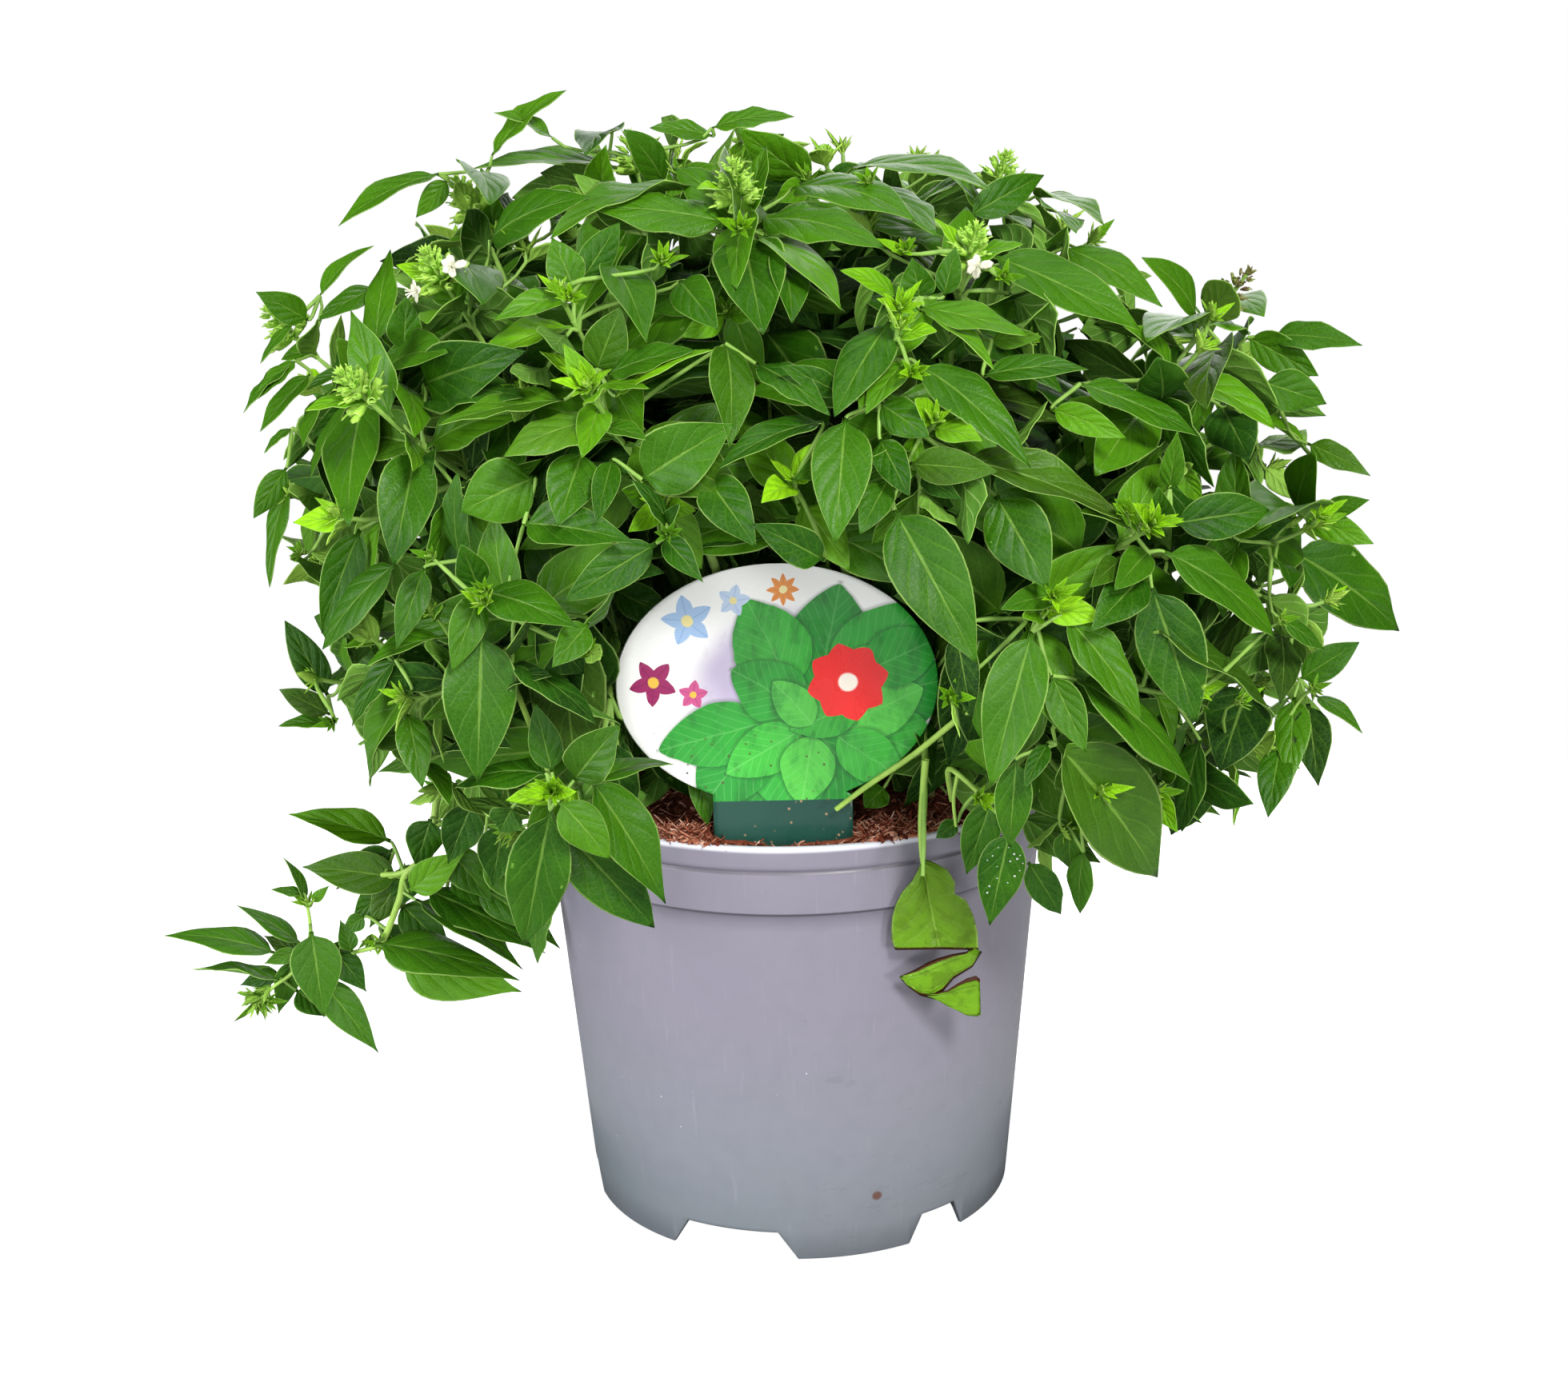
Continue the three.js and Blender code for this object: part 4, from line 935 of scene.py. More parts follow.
class Foliage:
    """Every leafy branch's mesh while it grows."""

    def __init__(self, stems):
        self.pieces = [Piece(f"leafy_shoots_{i + 1:02d}") for i in range(len(BRANCHES))]
        self.stems = stems
        self.shoots = grow_branches(stems)
        self.axes = Axes(self.shoots)
        self.crowd = Crowd()

    def lines(self, shoots):
        for s in shoots:
            points = s.path.points[::2]
            radii = np.linspace(s.radius, s.radius * 0.62, len(points))
            knots = 1 + 0.16 * np.cos(np.linspace(0, s.path.length / 13, len(points)) * 2 * math.pi)
            tube(self.pieces[s.branch], points, radii * knots, (0.5, STALK_AGE), 8, 1, 0.12)

    def seen(self):
        hubs = []
        # Leaves set back into the dome may reach the darkest colour, as painted shade; the others stop at SEEN_OLDEST.
        rows = [(on_dome(bx, by, 1.02 + sum(lift)), on_dome(tx, ty, 1.09 + sum(lift)), wide,
                 age, 1 if lift else SEEN_OLDEST)
                for bx, by, tx, ty, wide, age, *lift in SEEN_LEAVES]
        rows += [(on_depth(bx, by, b), on_depth(tx, ty, t), wide, age, SEEN_OLDEST)
                 for bx, by, b, tx, ty, t, wide, age in HANGING_LEAVES]
        for i, (base, tip, wide, age, oldest) in enumerate(rows):
            # painted shade: leaves low on the plant and over the label get a darker colour
            age = min(oldest, older_and_shaded_low(base, age + shade_age(base)))
            leaf = seen_leaf(base, tip, wide, age, (900, i))
            branch = self.hub(hubs, base, unit(tip - base))
            self.crowd.takes(leaf, seen=True)
            add_leaf(self.pieces[branch], leaf)
            if i == len(SEEN_LEAVES) + WET_LEAF:
                self.wet = branch
                self.drops(leaf)
        for px, py, size, age in SEEN_TIPS:
            end = on_dome(px, py, 1.09)
            way = unit(unit(EYE - end) * 0.8 + tip_direction(end))
            shoot, share, _ = self.axes.nearest(end, outwards(end), 12)
            path = twig_line(shoot, share, end, way)
            growing = Shoot(shoot.branch, path, size, 970 + px, 0.9, age)
            self.lines([growing])
            for leaf in tuft(path, size, growing.seed, age):
                add_leaf(self.pieces[shoot.branch], leaf, TINY_ALONG, TINY_ACROSS)
        self.loose(self.twigs())

    def drops(self, leaf):
        """Drops of water on a leaf."""
        for k, (along, across) in enumerate(DROPS):
            spots, normals = blade(leaf, np.array([along]), np.array([across]))
            spot, normal = spots[0, 0], normals[0]
            size = DROP_RADIUS * (1 + 0.4 * vary(k, 0, 90))
            lifts, radii = np.array([-0.1, 0.15, 0.45, 0.65]) * size, np.array([0.6, 1, 0.8, 0.35]) * size
            tube(self.pieces[self.wet], spot + normal * lifts[:, None], radii, (0.5, 0.5), 8, 2)

    def twigs(self):
        """The stems that show in front; returns the points of those on the loose branch."""
        loose = []
        for points, radius, branch in SEEN_TWIGS:
            line = through([sight(p) for p in points], 8).points
            tube(self.pieces[branch], line, np.linspace(radius, radius * 0.8, len(line)), (0.5, 0.1), 8, 1, 0.12)
            if branch == LOOSE_SHOOT:
                loose += list(line)
        return np.array(loose)

    def loose(self, marks):
        """The leaves and tips of the loose branch, each joined to the nearest of its stems."""
        piece = self.pieces[LOOSE_SHOOT]
        for i, (bx, by, b, tx, ty, t, wide, age) in enumerate(LOOSE_LEAVES):
            leaf = seen_leaf(on_depth(bx, by, b), on_depth(tx, ty, t), wide, min(age, LOOSE_OLDEST), (950, i))
            leaf["point"] = LOOSE_POINT
            self.crowd.takes(leaf, seen=True)
            add_leaf(piece, leaf)
            start = marks[np.linalg.norm(marks - leaf["base"], axis=1).argmin()]
            if np.linalg.norm(start - leaf["base"]) > 0.8:
                self.petiole(LOOSE_SHOOT, start, leaf["base"], leaf["way"])
        for px, py, y, way, size, age in LOOSE_TIPS:
            end = on_depth(px, py, y)
            way = unit(np.array(way))
            path = Path([end - way * 4, end])
            for leaf in tuft(path, size, 990 + px, age):
                add_leaf(piece, leaf, TINY_ALONG, TINY_ACROSS)

    def hub(self, hubs, base, way):
        """The branch for a seen leaf, with a twig to its foot; leaves with nearby feet share a twig."""
        for place, branch in hubs:
            far = np.linalg.norm(place - base)
            if far < 13:
                if far > 1.5:
                    self.petiole(branch, place, base, way)
                return branch
        inside = base - outwards(base) * 2
        shoot, share, far = self.axes.nearest(inside, outwards(base), 5)
        path = twig_line(shoot, share, base, unit(outwards(base) + way * 0.6))
        if far > 3 and not hides_made_parts(path.points):
            self.lines([Shoot(shoot.branch, path, 0, 0, 0.9)])
        hubs.append((base, shoot.branch))
        return shoot.branch

    def petiole(self, branch, start, end, way):
        path = bezier(start, start + (end - start) * 0.4, end - way * 1.5, end, 7)
        tube(self.pieces[branch], path.points, np.linspace(0.7, 0.5, 7), (0.5, STALK_AGE), 6, 1)

    def place(self, branch, leaf, fine):
        found = fit_leaf(self.crowd, leaf)
        if found is None:
            return
        grid = (FINE_ALONG, FINE_ACROSS) if fine else (PLAIN_ALONG, PLAIN_ACROSS)
        add_leaf(self.pieces[branch], found, *grid)

    def grow(self, shoots, pairs, fine=True):
        for s in shoots:
            for leaf in shoot_leaves(s.path, s.size, s.seed, pairs, s.age):
                self.place(s.branch, leaf, fine)

    def tufts(self, shoots):
        for s in shoots:
            if not s.rosette or hides_made_parts(s.path.points[-1:]):
                continue
            for leaf in tuft(s.path, s.size * 0.8, s.seed, s.age):
                add_leaf(self.pieces[s.branch], leaf, TINY_ALONG, TINY_ACROSS)

    def reaches(self):
        """The long leaves of the solid model."""
        mains = {}
        for s in self.shoots:
            mains.setdefault(s.branch, s.path)
        for index, branch in enumerate(BRANCHES):
            for k, (share, x, y, z) in enumerate(branch.get("reach", [])):
                base, tip = mains[index].at(share), np.array([x, y, z], float)
                leaf = aimed_leaf(base, tip, tip_direction(tip), (800 + index, k), age=0.75,
                                  width=np.linalg.norm(tip - base) * REACH_WIDTH)
                if self.crowd.takes(leaf):
                    add_leaf(self.pieces[index], leaf)


BACKING = [(0.74, 330), (0.55, 260), (0.36, 160), (0.2, 60)]  # level of the dome and number tried


def backing(foliage):
    """Old leaves inside the dome, which close it off; their darkest colour is painted shade."""
    for layer, (level, count) in enumerate(BACKING):
        for i, way in enumerate(spread_directions(count)):
            seed = (1500 + layer, i)
            middle = DOME_HEART + way * (level / dome_level(DOME_HEART + way))
            if middle[2] < 150:
                continue
            shoot, share, far = foliage.axes.nearest(middle, None, 6)
            if far > 60:
                continue
            base = shoot.path.at(share)
            base = base + (middle - base) * max(0, 1 - 22 / far)
            ahead = unit(unit(middle - base) + 0.5 * way - UP * 0.3)
            face = unit(UP + way * 0.6)
            face = unit(face - ahead * (face @ ahead))
            leaf = new_leaf(base, ahead, face, 44 + 6 * vary(*seed, 3), seed, age=1, stalk=shoot.path.tangent(share))
            foliage.place(shoot.branch, leaf, False)


def grow_foliage(stems):
    foliage = Foliage(stems)
    crowned = [s for s in foliage.shoots if "bare" not in BRANCHES[s.branch] and s.branch != LOOSE_SHOOT]
    foliage.seen()
    foliage.crowd.draw_curtain()
    foliage.lines([s for s in foliage.shoots if s.branch != LOOSE_SHOOT])
    foliage.reaches()
    foliage.grow(crowned, [1, 2])
    extra = fill_shoots(foliage.shoots, foliage.axes)
    outer = [s for s in extra if s.age == FILL[0]["age"]]
    inner = [s for s in extra if s.age != FILL[0]["age"]]
    foliage.lines(extra)
    foliage.grow(crowned, [0, 3])
    foliage.grow(outer, [0, 1, 2, 3])
    foliage.grow(crowned, [4], fine=False)
    foliage.grow(inner, [1, 2, 3], fine=False)
    backing(foliage)
    foliage.tufts(crowned + outer)
    return foliage


# The torn leaf by its pixels: left edge, midrib and right edge, from the stalk down to the tear.
TORN_BLADE = [
    ((1150, 1080), (1153, 1080), (1156, 1074)), ((1148, 1087), (1154, 1087), (1169, 1079)),
    ((1141, 1100), (1156, 1098), (1185, 1088)), ((1127, 1116), (1160, 1114), (1194, 1104)),
    ((1119, 1132), (1163, 1130), (1193, 1117)), ((1115, 1146), (1166, 1146), (1208, 1126)),
    ((1114, 1160), (1169, 1160), (1217, 1145)), ((1114, 1174), (1172, 1173), (1222, 1165)),
    ((1117, 1184), (1174, 1183), (1223, 1184)), ((1119, 1188), (1175, 1187), (1223, 1188)),
]
# What hangs below the tear, from right to left: upper and lower edge of the strip, then of the folded tip.
TORN_STRIP = [
    ((1214, 1184), (1228, 1190)), ((1208, 1190), (1216, 1209)), ((1190, 1193), (1192, 1224)),
    ((1172, 1198), (1178, 1241)), ((1158, 1204), (1166, 1249)), ((1144, 1212), (1150, 1245)),
    ((1133, 1217), (1135, 1234)), ((1124, 1221), (1125, 1223)),
]
TORN_TIP = [
    ((1225, 1224), (1226, 1269)), ((1220, 1220), (1221, 1271)), ((1209, 1223), (1209, 1270)),
    ((1198, 1229), (1197, 1264)), ((1184, 1238), (1184, 1258)), ((1170, 1242), (1174, 1252)),
    ((1158, 1243), (1160, 1247)),
]
TORN_ACROSS = np.array([-1, -.94, -.62, -.28, -.07, 0, .07, .28, .62, .94, 1])
TORN_EDGES = np.array([TORN["edge"], 0.923, TORN["middle"], TORN["middle"], 0.923, TORN["edge"]])
TORN_STALK = [(1157, 950, -84), (1154, 985, -83), (1151, 1030, -81.5), (1152, 1066, -81), (1155, 1092, -80.5)]


def torn_patch(piece, rows, shares, along, depth, swell, ribbed=False):
    """A patch of the torn leaf: each row runs through its pixels and swells towards the viewer."""
    marks = np.linspace(-1, 1, len(rows[0]))
    top = np.array([[sight((np.interp(share, marks, [p[0] for p in row]),
                            np.interp(share, marks, [p[1] for p in row]),
                            depth - swell * abs(math.sin(share * math.pi)) + TORN["fold"] * k * math.sin(share * 9)))
                     for share in shares] for k, row in zip(np.linspace(0, 1, len(rows)) ** 2, rows)])
    under = np.broadcast_to([0, -TORN["thick"], 0], top.shape)
    across = np.broadcast_to(shares if ribbed else 0.4, top.shape[:2])
    places = np.stack([np.broadcast_to(along, across.shape), across], 2)
    add_sheet(piece, top, under, places, (0.4, TORN["age"] - (0 if ribbed else 0.12)), 2)


def make_torn_leaf(piece):
    """The weak shoot over the rim: its leaf is torn across, with a folded strip below the tear."""
    stalk = through([sight(p) for p in TORN_STALK], 6).points
    tube(piece, stalk, np.linspace(1.35, 0.7, len(stalk)), (0.5, 0.15), 8, 1, 0.12)
    rows = len(TORN_BLADE)
    along = np.append(np.linspace(0.05, 0.88, rows - 1), TORN["edge"])[:, None]
    torn_patch(piece, TORN_BLADE, TORN_ACROSS, along, TORN["depth"], TORN["swell"], ribbed=True)
    shares = np.array([-1, -.8, -.4, .4, .8, 1])
    torn_patch(piece, TORN_STRIP, shares, TORN_EDGES, TORN["depth"] + 1.0, 0.8)
    torn_patch(piece, TORN_TIP, shares, TORN_EDGES - [0, 0, 0, 0.1, 0.3, 0.3], TORN["depth"] + 0.2, -0.6)


# ---------- flower spikes ----------
WHORL = dict(count=4, first=-4.0, step=3.1, cups=7, cup_long=5.8, cup_radius=1.1, bract=9)
OPEN_FLOWERS = {1: [(2, 3.14, 8.5), (1, 1.4, 6.5)], 4: [(1, 1.4, 6)]}
SPIKE_AGE = [0.1, 0.1, 0.15, 0.1, 0.1, 0.8, 0.1, 0.1, 0.1]


def around(way):
    first = unit(np.cross(way, NEARLY_UP if abs(way[2]) < 0.999 else np.array([1.0, 0, 0])))
    return first, np.cross(way, first)


def cup(piece, base, way, length, radius, tint):
    """One calyx: a ribbed cup with a raised lip."""
    shares = np.array([0, 0.15, 0.4, 0.7, 0.92, 1.0])
    radii = radius * np.array([0.45, 0.75, 1.05, 1.25, 1.2, 0.8])
    tube(piece, base + way * (length * shares)[:, None], radii, tint, 7, 0)
    lip = new_leaf(base + way * length * 0.75, way, np.cross(way, around(way)[0]), length * 0.75,
                   (int(base[0] * 7), int(base[2] * 5)), width=radius * 3.0, petiole=0.0, point=0.5, fold=0.3,
                   curl=-0.3, sag=0.0, age=tint[1], chance=tint[0])
    add_leaf(piece, lip, TINY_ALONG, TINY_ACROSS)


def flower(piece, base, way, seed):
    """A small two-lipped white flower with four petals above, one below and its stamens."""
    first, second = around(way)
    for k in range(5):
        turn = 0.9 * (k - 1.5) if k < 4 else math.pi + 0.2
        out = first * math.cos(turn) + second * math.sin(turn)
        petal = new_leaf(base + way * 1.5, way * 0.6 + out, way - out * 0.6, 3.8 if k < 4 else 4.8,
                         (seed, k), width=2.6, petiole=0.0, point=0.5, fold=0.2, curl=0.7, sag=0.0)
        add_leaf(piece, petal, TINY_ALONG, TINY_ACROSS, material=2)
        if k < 4:
            tip = base + way * 5 + out * 1.4
            tube(piece, [base + way, base + way * 4 + out * 0.6, tip], [0.18, 0.18, 0.3], (0.5, 0.5), 5, 2)


def make_spike(index, tip, way):
    piece = Piece(f"flower_buds_{index + 1:02d}")
    first, second = around(way)
    age = SPIKE_AGE[index]
    height = WHORL["first"] + WHORL["step"] * WHORL["count"]
    axis = [tip + way * z for z in np.linspace(WHORL["first"] - 1, height, 9)]
    tube(piece, axis, np.linspace(1.1, 0.5, 9), (0.5, age), 8, 1, 0.12)
    for whorl in range(WHORL["count"]):
        share = whorl / (WHORL["count"] - 1)
        size = (1 - 0.6 * share) * (1 - 0.4 * age)
        centre = tip + way * (WHORL["first"] + WHORL["step"] * whorl)
        for k in range(WHORL["cups"]):
            turn = 2 * math.pi * k / WHORL["cups"] + whorl * 0.5 + 0.2 * vary(index, whorl, k)
            out = first * math.cos(turn) + second * math.sin(turn)
            rise = 0.4 + 1.0 * share + 0.25 * vary(index, whorl, k + 20)
            aim = unit(out + way * rise)
            tint = (0.5 + 0.5 * vary(index, whorl, k + 40), max(0, age + 0.12 * vary(index, whorl, k + 60)))
            cup(piece, centre + out * 1.5, aim, WHORL["cup_long"] * size, WHORL["cup_radius"] * size, tint)
        for k in range(2):
            turn = math.pi * k + whorl * math.pi / 2
            out = first * math.cos(turn) + second * math.sin(turn)
            bract = new_leaf(centre, out + way * (0.4 + share), way - out * 0.4, WHORL["bract"] * size,
                             (index * 10 + whorl, k), width=3.4 * size, petiole=0.05, fold=0.5, curl=0.4,
                             sag=0.0, age=age + 0.2)
            add_leaf(piece, bract, TINY_ALONG, TINY_ACROSS)
    for k in range(7):
        turn = GOLDEN_TURN * k
        out = first * math.cos(turn) + second * math.sin(turn)
        bud = new_leaf(tip + way * (height - 2), way + out * 0.35, out - way * 0.3, 3.6, (index, 70 + k),
                       width=1.7, petiole=0.0, fold=0.5, curl=-0.4, sag=0.0, age=age)
        add_leaf(piece, bud, TINY_ALONG, TINY_ACROSS)
    for whorl, turn, reach in OPEN_FLOWERS.get(index, []):
        out = first * math.cos(turn) + second * math.sin(turn)
        centre = tip + way * (WHORL["first"] + WHORL["step"] * whorl)
        mouth, aim = centre + out * reach, unit(out + way * 0.5)
        tube(piece, [centre, mouth, mouth + aim * 1.6], [0.5, 0.8, 1.0], (0.5, age), 7)
        flower(piece, mouth, aim, index * 10 + whorl)
    return piece


# ---------- stems ----------
def make_stem(index, stem):
    """A squarish green stem with a swelling at each joint, and the arms that carry its branches."""
    piece = Piece(f"squared_stem_{index + 1:02d}")
    points = stem["trunk"].points
    swell = 1 + 0.13 * np.exp(-((np.linspace(0, 1, len(points)) * 3 % 1 - 0.5) / 0.07) ** 2)
    radii = STEM["radius"] * np.linspace(1.04, 0.92, len(points)) * swell
    tube(piece, points, radii, (0.5 + 0.5 * vary(index, 0, 80), 0.95), 12, 0, 0.14)
    for arm in stem["arms"]:
        line = arm.points
        tube(piece, line, np.linspace(ARM_RADIUS, AXIS_RADIUS * 1.05, len(line)),
             (0.5 + 0.5 * vary(index, 1, 80), 0.6), 10, 0, 0.14)
    return piece


# ---------- soil ----------
CRUMBS = 1200
FIBRES = 2600
RIM_CRUMBS = dict(count=90, turns=(-69, -111), spread=3.2)
HEAPS = [(-34, -75, 5.0, 13), (29, -75, 5.0, 11), (44, -66, 2.5, 12), (-62, 40, 2.5, 20), (30, 66, 2.5, 22)]


def soil_height(x, y):
    """The uneven top of the soil, with heaps near the rim."""
    radius = math.hypot(x, y)
    level = SOIL["edge_z"] + (SOIL["crown_z"] - SOIL["edge_z"]) * (1 - min(1, radius / POT["rim"]) ** 6)
    for hx, hy, rise, reach in HEAPS:
        level += rise * math.exp(-((x - hx) ** 2 + (y - hy) ** 2) / reach ** 2)
    rough = noise.fractal(Vector((x / 14, y / 14, 0.3)), 1.0, 2.0, 4)
    return level - 0.6 + 1.5 * rough


def inside_wall(z):
    return POT["foot"] + (POT["wall_top"] - POT["foot"]) * z / POT["band_z"] - POT["wall"] - 0.3


def make_soil(rng):
    piece = Piece("coir_root_ball")
    turns = np.linspace(0, 2 * math.pi, 145)[:-1]
    edge = POT["rim"] - 3.2
    radii = list(np.linspace(1.5, edge, 50))
    rows = [[(r * math.cos(a), r * math.sin(a), soil_height(r * math.cos(a), r * math.sin(a)))
             for a in turns] for r in radii]
    for z in (132, 118, 90, 55, 25, 14, 11.8):
        r = min(inside_wall(z), edge)
        rows.append([((r - 0.4 + 0.3 * math.sin(9 * a + z)) * math.cos(a),
                      (r - 0.4 + 0.3 * math.sin(9 * a + z)) * math.sin(a), z) for a in turns])
    ids = piece.vertices(np.array(rows)).reshape(len(rows), len(turns))
    top, bottom = piece.vertices([(0, 0, soil_height(0, 0)), (0, 0, 11.8)])
    ids = np.vstack([np.full(len(turns), top), ids, np.full(len(turns), bottom)])
    ids = np.hstack([ids, ids[:, :1]])
    places = np.stack(np.meshgrid(np.linspace(0, 1, len(ids)), np.linspace(0, 1, len(turns) + 1), indexing="ij"), 2)
    piece.grid(ids, places, (0.4, 0.5))
    for k in range(CRUMBS):
        spot = crumb_place(rng, k)
        add_crumb(piece, spot, rng)
    for k in range(RIM_CRUMBS["count"]):
        add_crumb(piece, rim_crumb_place(rng, k), rng)
    for k in range(FIBRES):
        add_fibre(piece, crumb_place(rng, k), rng)
    return piece


def rim_crumb_place(rng, k):
    """On the lip of the pot, in front of the two heaps."""
    turn = math.radians(rng.normal(RIM_CRUMBS["turns"][k % 2], RIM_CRUMBS["spread"]))
    radius = POT["rim"] - 1.6 + 0.8 * rng.random()
    return np.array([radius * math.cos(turn), radius * math.sin(turn), POT["height"]])


def crumb_place(rng, k):
    """Somewhere on the soil; every third place is on the heaps that show beside the label."""
    while True:
        if k % 3 == 0:
            hx, hy, _, reach = HEAPS[k // 3 % 3]
            x, y = rng.normal(hx, reach * 0.6), rng.normal(hy, reach * 0.45)
        else:
            radius, turn = 82 * math.sqrt(rng.random()), rng.random() * 2 * math.pi
            x, y = radius * math.cos(turn), radius * math.sin(turn)
        if math.hypot(x, y) < 83.5 and not (abs(y - LABEL["y"]) < 2.5 and STAKE["left"] - 2 < x < STAKE["right"] + 2):
            return np.array([x, y, soil_height(x, y)])


def add_crumb(piece, spot, rng):
    """A small uneven lump."""
    size = 0.3 + 0.8 * rng.random() ** 2.0
    around_count, rows = 7, 5
    phase = rng.random(3) * 6.28
    up = np.linspace(-math.pi / 2, math.pi / 2, rows)[1:-1]
    turns = np.linspace(0, 2 * math.pi, around_count, endpoint=False)
    lumps = 1 + 0.3 * np.sin(turns[None] * 2 + phase[0] + up[:, None] * 3) + 0.2 * rng.random((len(up), around_count))
    stretch = np.array([1 + 0.6 * rng.random(), 1, 0.6 + 0.3 * rng.random()])
    ball = np.stack([np.cos(up)[:, None] * np.cos(turns), np.cos(up)[:, None] * np.sin(turns),
                     np.sin(up)[:, None] * np.ones(around_count)], 2) * lumps[..., None] * stretch * size
    spin = np.array(Matrix.Rotation(phase[1], 3, "Z") @ Matrix.Rotation(phase[2] * 0.2, 3, "X"))
    centre = spot + UP * size * 0.35
    ids = piece.vertices(ball.reshape(-1, 3) @ spin.T + centre).reshape(len(up), around_count)
    low, high = piece.vertices([centre - UP * size * 0.7, centre + UP * size * 0.8])
    ids = np.vstack([np.full(around_count, low), ids, np.full(around_count, high)])
    ids = np.hstack([ids, ids[:, :1]])
    places = np.zeros(ids.shape + (2,))
    piece.grid(ids, places, (rng.random(), rng.random()), flip=True)


def add_fibre(piece, spot, rng):
    """A short curved coir fibre lying on the soil."""
    turn, long = rng.random() * 6.28, 2 + 4 * rng.random()
    way = np.array([math.cos(turn), math.sin(turn), 0.9 * rng.random()])
    bend = np.array([-way[1], way[0], 0.4]) * (rng.random() - 0.5) * 1.6
    t = np.linspace(-0.5, 0.5, 5)[:, None]
    points = spot + UP * (0.5 + 0.7 * rng.random()) + way * t * long + bend * (4 * t * t) * long * 0.5
    thick = 0.15 + 0.2 * rng.random()
    tube(piece, points, thick * np.array([0.6, 1, 1, 0.9, 0.5]), (rng.random(), rng.random()), 5)


# ---------- pot ----------
POT_PROFILE = [  # radius and height outside, from the wall's foot up over the lip and down inside
    (None, 122), (83.1, 122.15), (83.9, 122.5), (84.0, 123), (84.25, 135), (84.22, 135.5), (83.75, 135.9),
    (83.8, 136.4), (84.6, 137.0), (84.95, 137.5), (85.0, 138.5), (85.0, 142.3), (84.9, 143.4), (84.55, 144.1),
    (83.9, 144.4), (83.2, 144.4), (82.6, 144.15), (82.3, 143.4), (82.2, 141.9), (81.9, 130), (81.4, 121),
]


def wall_radius(z):
    return POT["foot"] + (POT["wall_top"] - POT["foot"]) * z / POT["band_z"]


def notch_list():
    cuts = []
    for k in range(3):
        for shape, at in ((NOTCH_WIDE, "wide_at"), (NOTCH_NARROW, "narrow_at")):
            cuts.append((math.radians(NOTCH[at] + k * NOTCH["spacing"]), shape["bottom"], shape["top"]))
    return cuts


def foot_height(turn):
    """How high the skirt starts: 0, or up to a notch's top."""
    for at, bottom, top in notch_list():
        along = abs(math.remainder(turn - at, 2 * math.pi)) * POT["foot"]
        if along < bottom:
            slope = (NOTCH["height"] + 1) / (bottom - top)
            return min(NOTCH["height"], max(0, (bottom - along) * slope - 1))
    return 0


def pot_turns():
    """Angles all round, with one on each corner of each notch."""
    turns = set(np.linspace(-math.pi, math.pi, 193)[:-1])
    for at, bottom, top in notch_list():
        foot = bottom - (bottom - top) / (NOTCH["height"] + 1)
        for along in (bottom, foot, (foot + top) / 2, top, top - 0.5):
            for side in (-1, 1):
                turns.add(math.remainder(at + side * along / POT["foot"], 2 * math.pi))
    found = []
    for turn in sorted(turns):
        if not found or turn - found[-1] > 0.002:
            found.append(turn)
    return found


def make_pot():
    """The thin shell: skirt with notches, tapered wall, two fine steps, rolled lip and raised floor."""
    piece = Piece("nursery_pot_shell")
    turns = pot_turns()
    inner = POT["foot"] - POT["skirt"]
    columns = []
    for turn in turns:
        low = foot_height(turn)
        column = [(inner, POT["floor_z"] - 0.6), (inner, low + 0.4), (inner + 0.25, low + 0.05)]
        column += [(wall_radius(low) - 0.3, low), (wall_radius(low), low + 0.35)]
        for z in (11, 14, 24, 40, 60, 80, 100, 116):
            column.append((wall_radius(z), z))
        for radius, z in POT_PROFILE:
            column.append((wall_radius(z) if radius is None else radius, z))
        for z in (90, 55, 25, 14):
            column.append((wall_radius(z) - POT["wall"], z))
        floor_top = POT["floor_z"] + POT["wall"]
        column += [(wall_radius(12) - POT["wall"] - 1.0, floor_top), (62, floor_top), (30, floor_top)]
        squash = 1 + 0.0012 * math.cos(2 * turn + 0.7)
        columns.append([(r * math.cos(turn) * squash, r * math.sin(turn) * squash, z) for r, z in column])
    shape = np.array(columns).transpose(1, 0, 2)
    ids = piece.vertices(shape).reshape(shape.shape[:2])
    under = [[(r * math.cos(t), r * math.sin(t), POT["floor_z"]) for t in turns] for r in (30, inner - 0.5)]
    under_ids = piece.vertices(np.array(under)).reshape(2, len(turns))
    top, low = piece.vertices([(0, 0, POT["floor_z"] + POT["wall"]), (0, 0, POT["floor_z"])])
    ids = np.vstack([under_ids[1], ids, np.full(len(turns), top)])
    under_ids = np.vstack([np.full(len(turns), low), under_ids])
    for part in (ids, under_ids):
        part = np.hstack([part, part[:, :1]])
        places = np.stack(np.meshgrid(np.linspace(0, 1, len(part)), np.linspace(0, 1, part.shape[1]), indexing="ij"), 2)
        piece.grid(part, places, (0.5, 0.5), flip=True)
    return piece


def drill_drains(pot):
    """Six round holes through the raised floor."""
    drills = Piece("drills")
    for k in range(DRAIN["count"]):
        centre = polar(k * 360 / DRAIN["count"], DRAIN["ring"], POT["floor_z"] - 3)
        tube(drills, [centre, centre + UP * 8], [DRAIN["radius"]] * 2, (0, 0), 24)
    cutter = drills.build([])
    cut = pot.modifiers.new("drains", "BOOLEAN")
    cut.object, cut.operation, cut.solver = cutter, "DIFFERENCE", "EXACT"
    shape = bpy.data.meshes.new_from_object(pot.evaluated_get(bpy.context.evaluated_depsgraph_get()))
    pot.modifiers.clear()
    pot.data = shape
    bpy.data.objects.remove(cutter)


